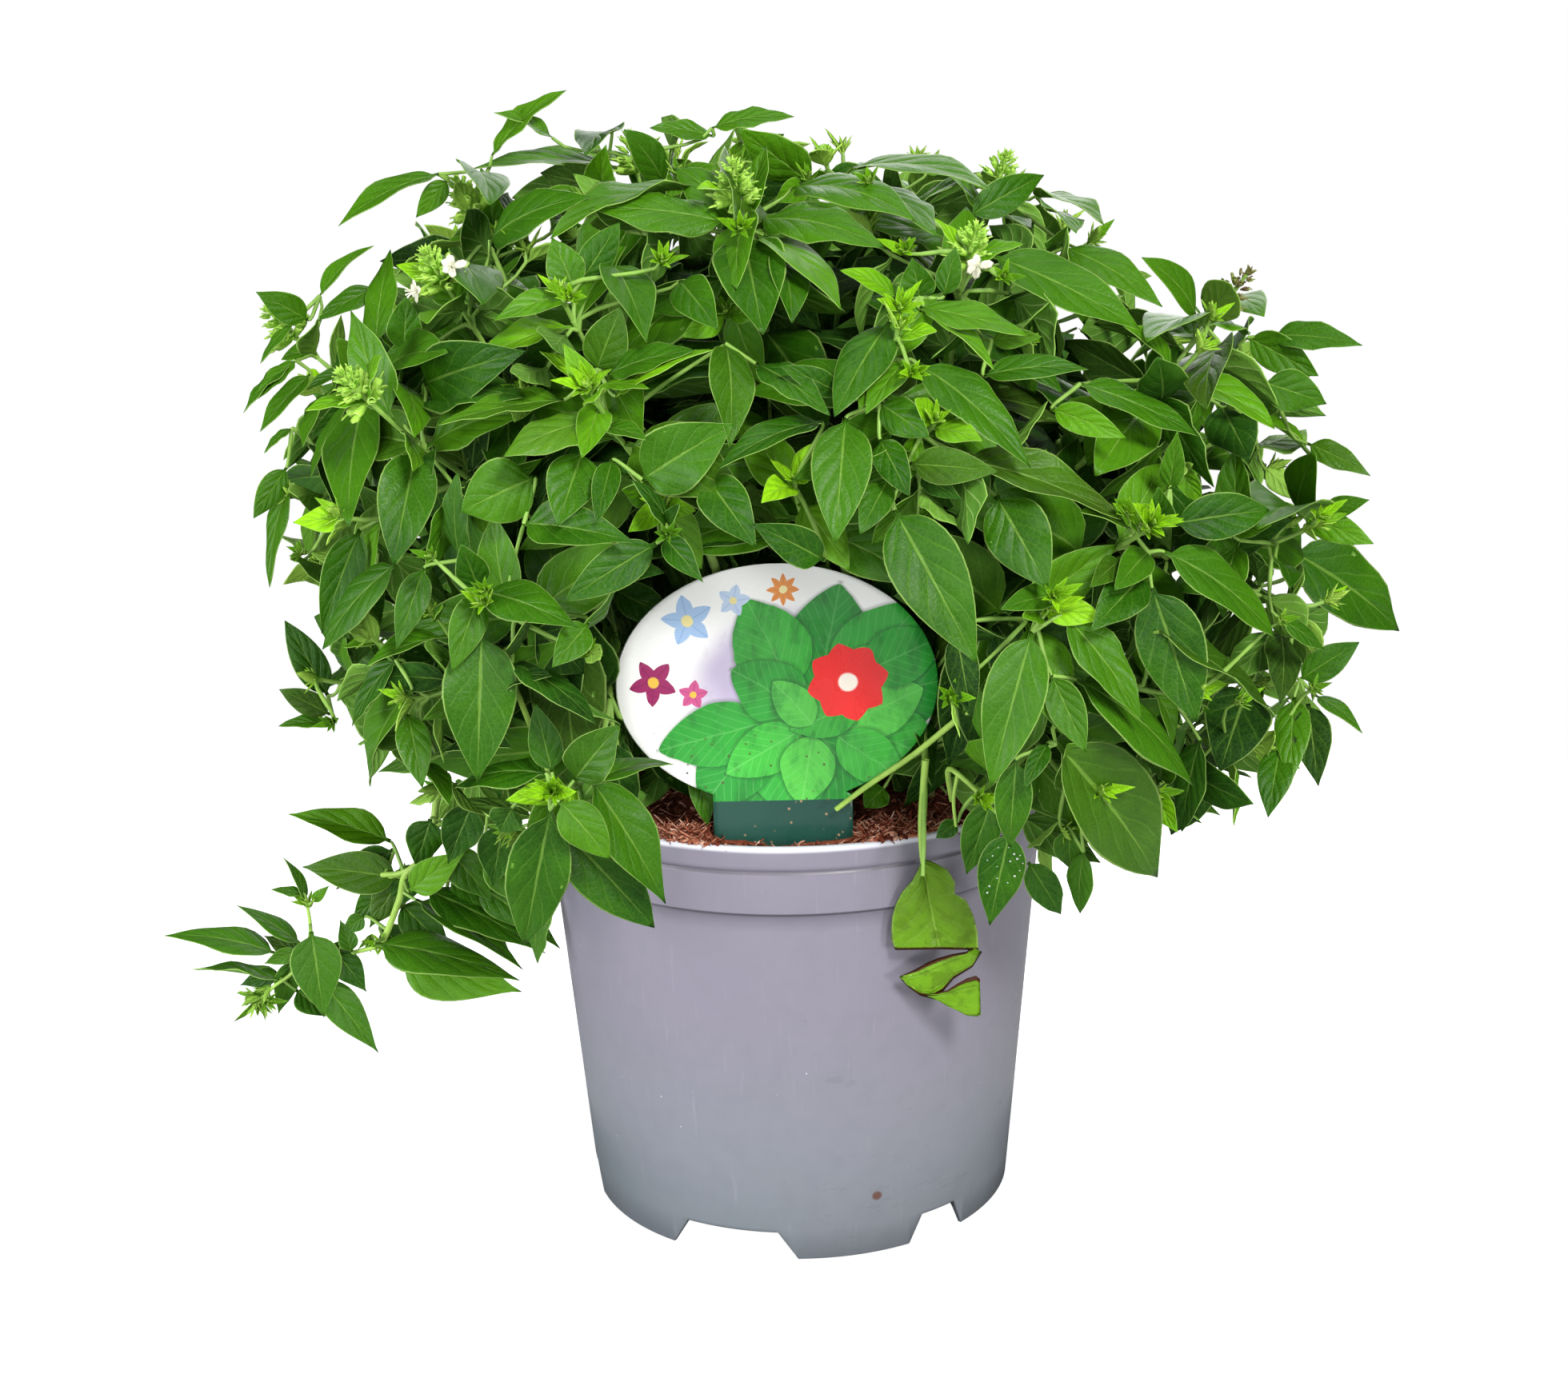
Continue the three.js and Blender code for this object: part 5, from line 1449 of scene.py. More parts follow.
# ---------- label ----------
def make_label():
    """The printed card, as rows of points across it from the stake's foot to the top of the head."""
    piece = Piece("printed_plant_label")
    middle = (STAKE["left"] + STAKE["right"]) / 2
    half_stake = (STAKE["right"] - STAKE["left"]) / 2
    bottom = LABEL["z"] - LABEL["tall"] / 2
    neck = LABEL["z"] - LABEL["tall"] / 2 * math.sqrt(1 - ((STAKE["left"] - LABEL["x"]) / LABEL["wide"] * 2) ** 2)
    rows = [(STAKE["tip_z"], middle, STAKE["corner"] / 2), (STAKE["straight_to"], middle, half_stake),
            (bottom - 4, middle, half_stake), (neck - 1.2, middle, half_stake)]
    start = math.asin((neck - LABEL["z"]) / (LABEL["tall"] / 2))
    for turn in np.linspace(start, math.pi / 2, 44)[:-1]:
        rows.append((LABEL["z"] + LABEL["tall"] / 2 * math.sin(turn), LABEL["x"], LABEL["wide"] / 2 * math.cos(turn)))
    rows.append((LABEL["z"] + LABEL["tall"] / 2 * math.sin(math.pi / 2 - 0.004), LABEL["x"], 0.2))
    across = np.array([-1, -.99, -.9, -.7, -.5, -.25, 0, .25, .5, .7, .9, .99, 1])
    front, back = [], []
    for z, centre, half in rows:
        for side, sheet in ((-1, front), (1, back)):
            thick = side * LABEL["thick"] / 2 * (np.abs(across) < 0.995)
            sheet.append(np.stack([centre + half * across, LABEL["y"] + thick, np.full(len(across), z)], 1))
    front, back = np.array(front), np.array(back)
    ids = piece.vertices(front).reshape(front.shape[:2])
    back_ids = ids.copy()
    back_ids[1:-1, 1:-1] = piece.vertices(back[1:-1, 1:-1]).reshape(len(rows) - 2, len(across) - 2)
    places = np.stack(np.meshgrid(np.linspace(0, 1, len(rows)), across, indexing="ij"), 2)
    piece.grid(ids, places, (0, 0), flip=True)
    piece.grid(back_ids, places, (1, 1))
    return piece


# ---------- materials ----------
class Nodes:
    """A material's shader tree, with short calls for the nodes that it uses."""

    def __init__(self, name):
        self.material = bpy.data.materials.new(name)
        self.material.use_nodes = True
        self.tree = self.material.node_tree
        self.tree.nodes.clear()
        self.output = self.tree.nodes.new("ShaderNodeOutputMaterial")
        self.place = self.tree.nodes.new("ShaderNodeTexCoord").outputs["Object"]

    def set(self, socket, value):
        if isinstance(value, bpy.types.NodeSocket):
            self.tree.links.new(value, socket)
        else:
            socket.default_value = value

    def math(self, operation, *values, clamp=False):
        node = self.tree.nodes.new("ShaderNodeMath")
        node.operation, node.use_clamp = operation, clamp
        for socket, value in zip(node.inputs, values):
            self.set(socket, value)
        return node.outputs[0]

    def between(self, value, low, high, start=0.0, end=1.0):
        """value's place between low and high, smoothed, from start to end."""
        node = self.tree.nodes.new("ShaderNodeMapRange")
        node.interpolation_type = "SMOOTHSTEP"
        for name, given in zip(("Value", "From Min", "From Max", "To Min", "To Max"), (value, low, high, start, end)):
            self.set(node.inputs[name], given)
        return node.outputs["Result"]

    def mix(self, share, a, b, how="MIX"):
        node = self.tree.nodes.new("ShaderNodeMix")
        node.data_type, node.blend_type = "RGBA", how
        self.set(node.inputs["Factor"], share)
        self.set(node.inputs["A"], a)
        self.set(node.inputs["B"], b)
        return node.outputs["Result"]

    def ramp(self, value, *stops):
        node = self.tree.nodes.new("ShaderNodeValToRGB")
        band = node.color_ramp
        while len(band.elements) < len(stops):
            band.elements.new(0.5)
        for element, (at, colour) in zip(band.elements, stops):
            element.position, element.color = at, linear(colour)
        self.set(node.inputs["Fac"], value)
        return node.outputs["Color"]

    def noise(self, scale, detail=4.0, rough=0.55, where=None, stretch=None):
        node = self.tree.nodes.new("ShaderNodeTexNoise")
        where = self.place if where is None else where
        if stretch:
            where = self.scaled(where, stretch)
        self.set(node.inputs["Vector"], where)
        self.set(node.inputs["Scale"], scale)
        self.set(node.inputs["Detail"], detail)
        self.set(node.inputs["Roughness"], rough)
        return node.outputs["Fac"]

    def cells(self, scale, feature="F1", where=None):
        node = self.tree.nodes.new("ShaderNodeTexVoronoi")
        node.feature = feature
        self.set(node.inputs["Vector"], self.place if where is None else where)
        self.set(node.inputs["Scale"], scale)
        return node.outputs["Distance"]

    def scaled(self, where, factors):
        node = self.tree.nodes.new("ShaderNodeVectorMath")
        node.operation = "MULTIPLY"
        self.set(node.inputs[0], where)
        self.set(node.inputs[1], factors)
        return node.outputs[0]

    def parts(self, vector):
        node = self.tree.nodes.new("ShaderNodeSeparateXYZ")
        self.set(node.inputs[0], vector)
        return node.outputs

    def map(self, name):
        node = self.tree.nodes.new("ShaderNodeUVMap")
        node.uv_map = name
        return self.parts(node.outputs["UV"])

    def bump(self, height, distance, strength=1.0, normal=None):
        node = self.tree.nodes.new("ShaderNodeBump")
        self.set(node.inputs["Height"], height)
        self.set(node.inputs["Distance"], distance)
        self.set(node.inputs["Strength"], strength)
        if normal is not None:
            self.set(node.inputs["Normal"], normal)
        return node.outputs["Normal"]

    def surface(self, colour, roughness, normal=None, specular=0.5, **more):
        node = self.tree.nodes.new("ShaderNodeBsdfPrincipled")
        self.set(node.inputs["Base Color"], colour)
        self.set(node.inputs["Roughness"], roughness)
        node.inputs["Specular IOR Level"].default_value = specular
        for name, value in more.items():
            node.inputs[name.replace("_", " ")].default_value = value
        if normal is not None:
            self.set(node.inputs["Normal"], normal)
        return node.outputs[0]

    def glow_through(self, surface, colour, share, normal=None):
        """Adds the light that comes through a thin leaf."""
        thin = self.tree.nodes.new("ShaderNodeBsdfTranslucent")
        self.set(thin.inputs["Color"], colour)
        if normal is not None:
            self.set(thin.inputs["Normal"], normal)
        both = self.tree.nodes.new("ShaderNodeMixShader")
        both.inputs[0].default_value = share
        self.tree.links.new(surface, both.inputs[1])
        self.tree.links.new(thin.outputs[0], both.inputs[2])
        return both.outputs[0]

    def done(self, surface):
        self.tree.links.new(surface, self.output.inputs["Surface"])
        return self.material


# Upper-side colours from young to old; the darkest stops also stand for leaves in shade, as painted shade.
UPPER_BY_AGE_AND_SHADE = [(0.0, "90CE16"), (0.25, "58920C"), (0.5, "42750B"), (0.75, "346509"), (0.92, "1C4A03"),
                (1.0, "082C00")]
LOWER_BY_AGE = [(0.0, "A6D250"), (0.5, "6E9E38"), (1.0, "4C7A26")]
VEIN = dict(pairs=5.0, sweep=1.9)


def leaf_material(name, torn=False):
    n = Nodes(name)
    along, raised, _ = n.map("leaf")
    chance, age, _ = n.map("tint")
    under = n.math("GREATER_THAN", raised, UNDERSIDE / 2)
    across = n.math("SUBTRACT", raised, n.math("MULTIPLY", under, UNDERSIDE))
    away = n.math("ABSOLUTE", across)
    rib_wide = n.math("ADD", n.math("MULTIPLY", n.math("SUBTRACT", 1.0, along), 0.05), 0.02)
    midrib = n.between(n.math("DIVIDE", away, rib_wide), 0.5, 1.3, 1, 0)
    other_side = n.math("MULTIPLY", n.math("GREATER_THAN", across, 0), 0.5)
    swept = n.math("MULTIPLY", n.math("POWER", away, 0.75), VEIN["sweep"])
    wobble = n.math("MULTIPLY", n.noise(90, 2), 0.5)
    phase = n.math("ADD", n.math("SUBTRACT", n.math("MULTIPLY", along, VEIN["pairs"]), swept),
                   n.math("ADD", other_side, wobble))
    saw = n.math("MULTIPLY", n.math("ABSOLUTE", n.math("SUBTRACT", n.math("FRACT", phase), 0.5)), 2)
    fade = n.math("MULTIPLY", n.between(away, 0.7, 0.98, 1, 0), n.between(along, 0.75, 0.97, 1, 0))
    vein = n.math("MULTIPLY", n.between(saw, 0.82, 0.98), fade)
    net = n.between(n.cells(620, "DISTANCE_TO_EDGE"), 0.02, 0.16, 1, 0)
    margin = n.between(away, 0.935, 0.985)
    patches = n.noise(38, 3)
    specks = n.noise(420, 3)

    tinted = n.math("ADD", age, n.math("MULTIPLY", n.math("SUBTRACT", patches, 0.5), 0.5))
    # painted shade: the age value is raised for leaves in shade, so this ramp darkens them
    upper = n.ramp(n.math("ADD", tinted, n.math("MULTIPLY", n.math("SUBTRACT", chance, 0.5), 0.22)), *UPPER_BY_AGE_AND_SHADE)
    upper = n.mix(n.math("MULTIPLY", n.between(chance, 0.8, 1.0), 0.12), upper, linear("8CB430"))
    # painted shade: darker towards the sunken veins, lighter on the puffed blade between them
    upper = n.mix(n.math("MULTIPLY", n.between(saw, 0.25, 0.8), 0.13), upper, linear("1E4C04"))
    upper = n.mix(n.math("MULTIPLY", vein, 0.1), upper, linear("8CC048"))
    upper = n.mix(n.math("MULTIPLY", net, 0.05), upper, linear("80B83C"))
    lower = n.mix(n.math("MULTIPLY", vein, 0.4), n.ramp(tinted, *LOWER_BY_AGE), linear("B9D686"))
    colour = n.mix(under, upper, lower)
    colour = n.mix(n.math("MULTIPLY", midrib, 0.27), colour, linear("9CC858"))
    # pale margin: partly the leaf's own paler edge, partly a painted highlight
    colour = n.mix(n.math("MULTIPLY", margin, 0.55), colour, linear("A9CB6C"))
    colour = n.mix(n.between(specks, 0.3, 0.75, 0.0, 0.16), colour, linear("2C5A0A"))
    if torn:
        edge = n.between(n.math("ADD", along, n.math("MULTIPLY", specks, 0.05)), TORN["brown_from"], TORN["edge"])
        colour = n.mix(0.1, colour, linear("B4BE3A"))
        blotch = n.math("MULTIPLY", n.between(n.noise(230, 5), 0.5, 0.6), n.between(along, 0.1, 0.9, 0.15, 0.75))
        colour = n.mix(blotch, colour, linear("4A6A10"))
        colour = n.mix(edge, colour, linear("3B1F10"))

    puffed = n.math("SQRT", n.math("MAXIMUM", n.math("SUBTRACT", 1.0, n.math("MULTIPLY", saw, fade)), 0.0))
    height = n.math("ADD", n.math("MULTIPLY", puffed, 0.5), n.math("MULTIPLY", net, -0.07))
    height = n.math("ADD", height, n.math("MULTIPLY", midrib, -0.4))
    flip = n.math("SUBTRACT", 1.0, n.math("MULTIPLY", under, 2.0))
    normal = n.bump(n.math("MULTIPLY", height, flip), 0.001, 0.6)
    normal = n.bump(specks, 0.00008, 0.25, normal)
    rough = n.math("ADD", n.between(patches, 0.3, 0.7, 0.34, 0.46), n.math("MULTIPLY", under, 0.2))
    rough = n.math("ADD", rough, n.between(age, 0.86, 1.0, 0, 0.3))
    surface = n.surface(colour, rough, normal, specular=0.17)
    through = n.mix(0.5, colour, linear("A8D62A"))
    return n.done(n.glow_through(surface, through, 0.12, normal))


def shoot_material():
    """Green shoots: pale ridges, older and browner with age."""
    n = Nodes("green_shoot")
    along, around_, _ = n.map("leaf")
    _, age, _ = n.map("tint")
    streaks = n.noise(220, 3, stretch=(1, 1, 0.15))
    colour = n.ramp(n.math("ADD", age, n.math("MULTIPLY", n.math("SUBTRACT", n.noise(60), 0.5), 0.35)),
                    (0.0, "A9CF5C"), (0.5, "86B04C"), (1.0, "6F9440"))
    colour = n.mix(n.between(streaks, 0.35, 0.7, 0, 0.3), colour, linear("5C8430"))
    hairs = n.noise(1500, 2)
    normal = n.bump(n.math("ADD", streaks, n.math("MULTIPLY", hairs, 0.3)), 0.0004, 0.6)
    surface = n.surface(colour, n.between(streaks, 0.3, 0.7, 0.42, 0.58), normal, specular=0.4)
    return n.done(n.glow_through(surface, colour, 0.12, normal))


def stem_material():
    """The main stems: green above, straw-brown and scarred near the soil."""
    n = Nodes("basil_stem")
    _, _, z = n.parts(n.place)
    chance, age, _ = n.map("tint")
    streaks = n.noise(200, 4, stretch=(1, 1, 0.12))
    lift = n.between(z, (SOIL["crown_z"] - 2) * MM, 0.185)
    green = n.mix(n.math("MULTIPLY", chance, 0.5), linear("7FA34B"), linear("98B765"))
    colour = n.mix(lift, linear("7C7A48"), green)
    colour = n.mix(n.between(streaks, 0.4, 0.75, 0, 0.4), colour, linear("56702E"))
    scars = n.between(n.cells(260), 0.0, 0.22, 0.5, 0.0)
    colour = n.mix(n.math("MULTIPLY", scars, n.between(lift, 0, 1, 1, 0.1)), colour, linear("5A4226"))
    normal = n.bump(n.math("ADD", streaks, n.math("MULTIPLY", n.noise(900), 0.3)), 0.0006, 0.7)
    return n.done(n.surface(colour, n.between(streaks, 0.3, 0.7, 0.45, 0.65), normal, specular=0.35))


def petal_material():
    n = Nodes("white_petal")
    along, across, _ = n.map("leaf")
    veins = n.between(n.noise(700, 2, stretch=(1, 1, 0.3)), 0.35, 0.7)
    colour = n.mix(veins, linear("F8F6E6"), linear("E8E8CC"))
    colour = n.mix(n.between(along, 0.0, 0.35, 0.5, 0), colour, linear("CFE0A0"))
    normal = n.bump(veins, 0.0002, 0.5)
    surface = n.surface(colour, n.between(veins, 0, 1, 0.5, 0.65), normal, specular=0.3)
    return n.done(n.glow_through(surface, linear("F2F2F0"), 0.35, normal))


def water_material():
    n = Nodes("water_drop")
    uneven = n.noise(900, 2)
    colour = n.mix(n.between(uneven, 0.3, 0.7), linear("FFFFFF"), linear("D8ECD0"))
    normal = n.bump(uneven, 0.0001, 0.4)
    return n.done(n.surface(colour, n.between(uneven, 0.3, 0.7, 0.06, 0.16), normal, specular=0.6,
                            Transmission_Weight=0.5, IOR=1.33))


def bud_material():
    """Calyx green: bright and a little hairy, browner on the old spike."""
    n = Nodes("calyx_green")
    along, across, _ = n.map("leaf")
    chance, age, _ = n.map("tint")
    colour = n.ramp(n.math("ADD", age, n.math("MULTIPLY", n.math("SUBTRACT", chance, 0.5), 0.25)),
                    (0.0, "C4F060"), (0.3, "9CD042"), (0.6, "7C9434"), (0.85, "7C6440"), (1.0, "6C4E38"))
    ribs = n.between(n.noise(900, 2), 0.35, 0.7)
    colour = n.mix(n.math("MULTIPLY", ribs, 0.3), colour, linear("D2EC8C"))
    colour = n.mix(n.between(along, 0.75, 1.0, 0, 0.3), colour, linear("E4F4B0"))
    normal = n.bump(n.math("ADD", ribs, n.noise(2200, 2)), 0.0003, 0.6)
    surface = n.surface(colour, n.between(ribs, 0, 1, 0.5, 0.62), normal, specular=0.35)
    return n.done(n.glow_through(surface, colour, 0.35, normal))


def soil_material():
    n = Nodes("coir_soil")
    chance, other, _ = n.map("tint")
    _, _, z = n.parts(n.place)
    grain = n.noise(420, 6, 0.7)
    clumps = n.noise(90, 4)
    colour = n.ramp(n.math("ADD", n.math("MULTIPLY", chance, 0.7), n.math("MULTIPLY", grain, 0.5)),
                    (0.2, "2E0F07"), (0.42, "7A3624"), (0.62, "B0664C"), (0.82, "DC9E82"), (1.0, "F6D2BE"))
    colour = n.mix(n.between(clumps, 0.35, 0.65, 0.35, 0), colour, linear("33170C"))
    specks = n.between(n.cells(650), 0.0, 0.16, 1, 0)
    colour = n.mix(n.math("MULTIPLY", specks, n.between(n.noise(50), 0.5, 0.65)), colour, linear("C9B49C"))
    height = n.math("ADD", grain, n.math("MULTIPLY", n.cells(500), 0.8))
    normal = n.bump(height, 0.0016, 0.9)
    return n.done(n.surface(colour, n.between(grain, 0.3, 0.7, 0.78, 0.98), normal, specular=0.15))


def pot_material():
    """Satin grey plastic with a lavender cast, dust, light specks, a few dirt marks and faint scuffs, with painted
    shade along the two steps and a painted highlight on the lip.
    """
    n = Nodes("satin_grey_plastic")
    x, y, z = n.parts(n.place)
    cloud = n.noise(9, 4)
    fine = n.noise(160, 5)
    colour = n.mix(n.between(z, 0.0, 0.1), linear("6E777C"), linear("767280"))
    colour = n.mix(n.between(cloud, 0.3, 0.7, 0, 0.3), colour, linear("82808E"))
    colour = n.mix(n.between(fine, 0.4, 0.75, 0, 0.2), colour, linear("676974"))
    # painted shade: dark lines along the two steps of the band
    for level, depth in ((0.1221, 0.6), (0.1358, 0.55)):
        off = n.math("ABSOLUTE", n.math("SUBTRACT", z, level))
        colour = n.mix(n.between(off, 0.0002, 0.0009, depth, 0), colour, linear("3E3A40"))
    # painted highlight: the top of the lip made lighter
    colour = n.mix(n.between(z, 0.1422, 0.1436, 0, 0.75), colour, linear("DCDEEA"))
    drawn = n.noise(30, 5, stretch=(14, 14, 0.7))
    colour = n.mix(n.between(drawn, 0.6, 0.78, 0, 0.08), colour, linear("C2C3CC"))
    specks = n.between(n.cells(170), 0.02, 0.05, 1, 0)
    rare = n.between(n.noise(26, 2), 0.56, 0.66)
    colour = n.mix(n.math("MULTIPLY", specks, n.math("MULTIPLY", rare, 0.8)), colour, linear("E6E6EA"))
    dirt = n.between(n.cells(130, where=n.scaled(n.place, (1.0, 1.0, 1.3))), 0.03, 0.075, 1, 0)
    dirty = n.math("MULTIPLY", n.between(n.noise(17, 3), 0.56, 0.66), n.between(z, 0.05, 0.13, 0.35, 0.9))
    colour = n.mix(n.math("MULTIPLY", dirt, dirty), colour, linear("6A4A3C"))
    scuff = n.math("MULTIPLY", n.between(n.noise(70, 6, 0.75, stretch=(0.5, 0.5, 1.6)), 0.57, 0.66),
                   n.between(n.noise(11, 2), 0.52, 0.6))
    colour = n.mix(n.math("MULTIPLY", scuff, 0.3), colour, linear("5F636B"))
    spot = n.math("ADD", n.math("POWER", n.math("SUBTRACT", x, 0.024), 2.0),
                  n.math("POWER", n.math("SUBTRACT", z, 0.021), 2.0))
    spot = n.between(n.math("ADD", spot, n.math("MULTIPLY", fine, 2e-6)), 2.2e-6, 5e-6, 0.85, 0)
    colour = n.mix(n.math("MULTIPLY", spot, n.math("LESS_THAN", y, 0.0)), colour, linear("5A3420"))
    rough = n.math("ADD", n.between(cloud, 0.3, 0.7, 0.34, 0.46), n.math("MULTIPLY", scuff, 0.2))
    normal = n.bump(n.math("ADD", fine, n.math("MULTIPLY", n.noise(1400, 2), 0.4)), 0.00012, 0.6)
    normal = n.bump(cloud, 0.004, 0.35, normal)
    return n.done(n.surface(colour, rough, normal, specular=0.5))


# Each printed leaf: foot x and z, angle in degrees, length, width, colour, edge colour.
PRINTED_LEAVES = [
    (18, 196, -112, 34, 26, "1C7A2A", "0E4E1E"), (2, 186, -20, 30, 24, "1C7A2A", "0E4E1E"),
    (0, 166, -100, 18, 34, "24882E", "146020"), (-6, 168, -82, 22, 26, "24882E", "146020"),
    (8, 190, 78, 34, 26, "249032", "126022"), (15, 190, 48, 36, 26, "32A23A", "186A26"),
    (17, 186, 14, 34, 26, "249032", "126022"), (15, 180, -22, 34, 24, "3AAA3A", "1C7028"),
    (7, 178, -52, 34, 26, "249032", "126022"), (-2, 177, -84, 28, 24, "32A23A", "186A26"),
    (-10, 178, -128, 30, 22, "249032", "126022"), (-8, 181, -166, 34, 20, "2E9C36", "186A26"),
    (0, 192, 116, 30, 24, "3AAA3A", "1C7028"), (4, 184, 148, 26, 20, "2E9C36", "186A26"),
    (12, 182, 60, 26, 18, "40B03E", "207A2E"), (16, 180, 24, 26, 18, "54BE48", "268232"),
    (2, 178, -150, 26, 16, "40B03E", "207A2E"), (6, 176, -100, 22, 17, "54BE48", "268232"),
    (14, 176, -36, 24, 16, "40B03E", "207A2E"), (2, 190, -30, 20, 14, "2E9C36", "186A26"),
    (20, 186, -160, 22, 14, "3AAA3A", "1C7028"), (6, 180, 130, 18, 12, "54BE48", "268232"),
    (22, 196, 24, 26, 18, "2E9C36", "186A26"),
]
PRINTED_FLOWERS = [  # centre x and z, petal count, petal length and width, turn, colour, second colour, eye
    (17, 193, 8, 12.5, 12, 12, "EE3030", "D82424", "FFF4E8"),
    (-31, 213, 5, 8, 5, 30, "A9C8F0", "6F9BD8", "F4E6A0"),
    (-17, 219, 5, 5, 3.6, 5, "C7D9F4", "8FB0E0", "F4E6A0"),
    (-42, 194, 5, 7.5, 4.6, 50, "A02A66", "701C48", "F2C24E"),
    (-30, 190, 5, 4.5, 3.2, 10, "D25C94", "A83A70", "F2C24E"),
    (-2, 222, 8, 5, 2.2, 0, "F29A4A", "E07A28", "FFF0B0"),
]


def petal_group():
    """A node group: 1 inside a pointed oval that starts at a foot and runs out at an angle."""
    group = bpy.data.node_groups.new("printed_petal", "ShaderNodeTree")
    face = group.interface
    for name in ("Across", "Up", "Foot X", "Foot Z", "Angle", "Length", "Width"):
        face.new_socket(name, in_out="INPUT", socket_type="NodeSocketFloat")
    for name in ("Inside", "Vein", "Shade"):
        face.new_socket(name, in_out="OUTPUT", socket_type="NodeSocketFloat")
    start, end = group.nodes.new("NodeGroupInput"), group.nodes.new("NodeGroupOutput")

    def calc(operation, *values):
        node = group.nodes.new("ShaderNodeMath")
        node.operation = operation
        for socket, value in zip(node.inputs, values):
            if isinstance(value, bpy.types.NodeSocket):
                group.links.new(value, socket)
            else:
                socket.default_value = value
        return node.outputs[0]

    x, z, fx, fz, angle, length, width = [start.outputs[i] for i in range(7)]
    dx, dz = calc("SUBTRACT", x, fx), calc("SUBTRACT", z, fz)
    c, s = calc("COSINE", angle), calc("SINE", angle)
    t = calc("DIVIDE", calc("ADD", calc("MULTIPLY", dx, c), calc("MULTIPLY", dz, s)), length)
    side = calc("SUBTRACT", calc("MULTIPLY", dz, c), calc("MULTIPLY", dx, s))
    bow = calc("SINE", calc("MULTIPLY", calc("POWER", calc("MAXIMUM", t, 0.0), 0.8), math.pi))
    bow = calc("POWER", calc("MAXIMUM", bow, 0.0), 0.72)
    half = calc("MULTIPLY", calc("MULTIPLY", bow, width), 0.5)
    half = calc("MULTIPLY", half, calc("LESS_THAN", t, 1.0))
    inside = calc("MULTIPLY", calc("SUBTRACT", half, calc("ABSOLUTE", side)), 9.0)
    group.links.new(calc("MINIMUM", calc("MAXIMUM", inside, 0.0), 1.0), end.inputs[0])
    away = calc("ABSOLUTE", side)
    shade = calc("MULTIPLY", calc("SUBTRACT", calc("ADD", half, 1.4), away), 0.5)
    shade = calc("MULTIPLY", shade, calc("MULTIPLY", calc("GREATER_THAN", t, 0.0), calc("LESS_THAN", t, 1.03)))
    group.links.new(calc("MINIMUM", calc("MAXIMUM", shade, 0.0), 1.0), end.inputs[2])
    rib = calc("SUBTRACT", 1.0, calc("MINIMUM", calc("MULTIPLY", away, 2.6), 1.0))
    swept = calc("SUBTRACT", calc("MULTIPLY", t, 8.0), calc("MULTIPLY", away, 0.34))
    lines = calc("ABSOLUTE", calc("SUBTRACT", calc("FRACT", swept), 0.5))
    lines = calc("MAXIMUM", calc("MULTIPLY", calc("SUBTRACT", lines, 0.4), 7.0), 0.0)
    group.links.new(calc("MAXIMUM", rib, lines), end.inputs[1])
    return group


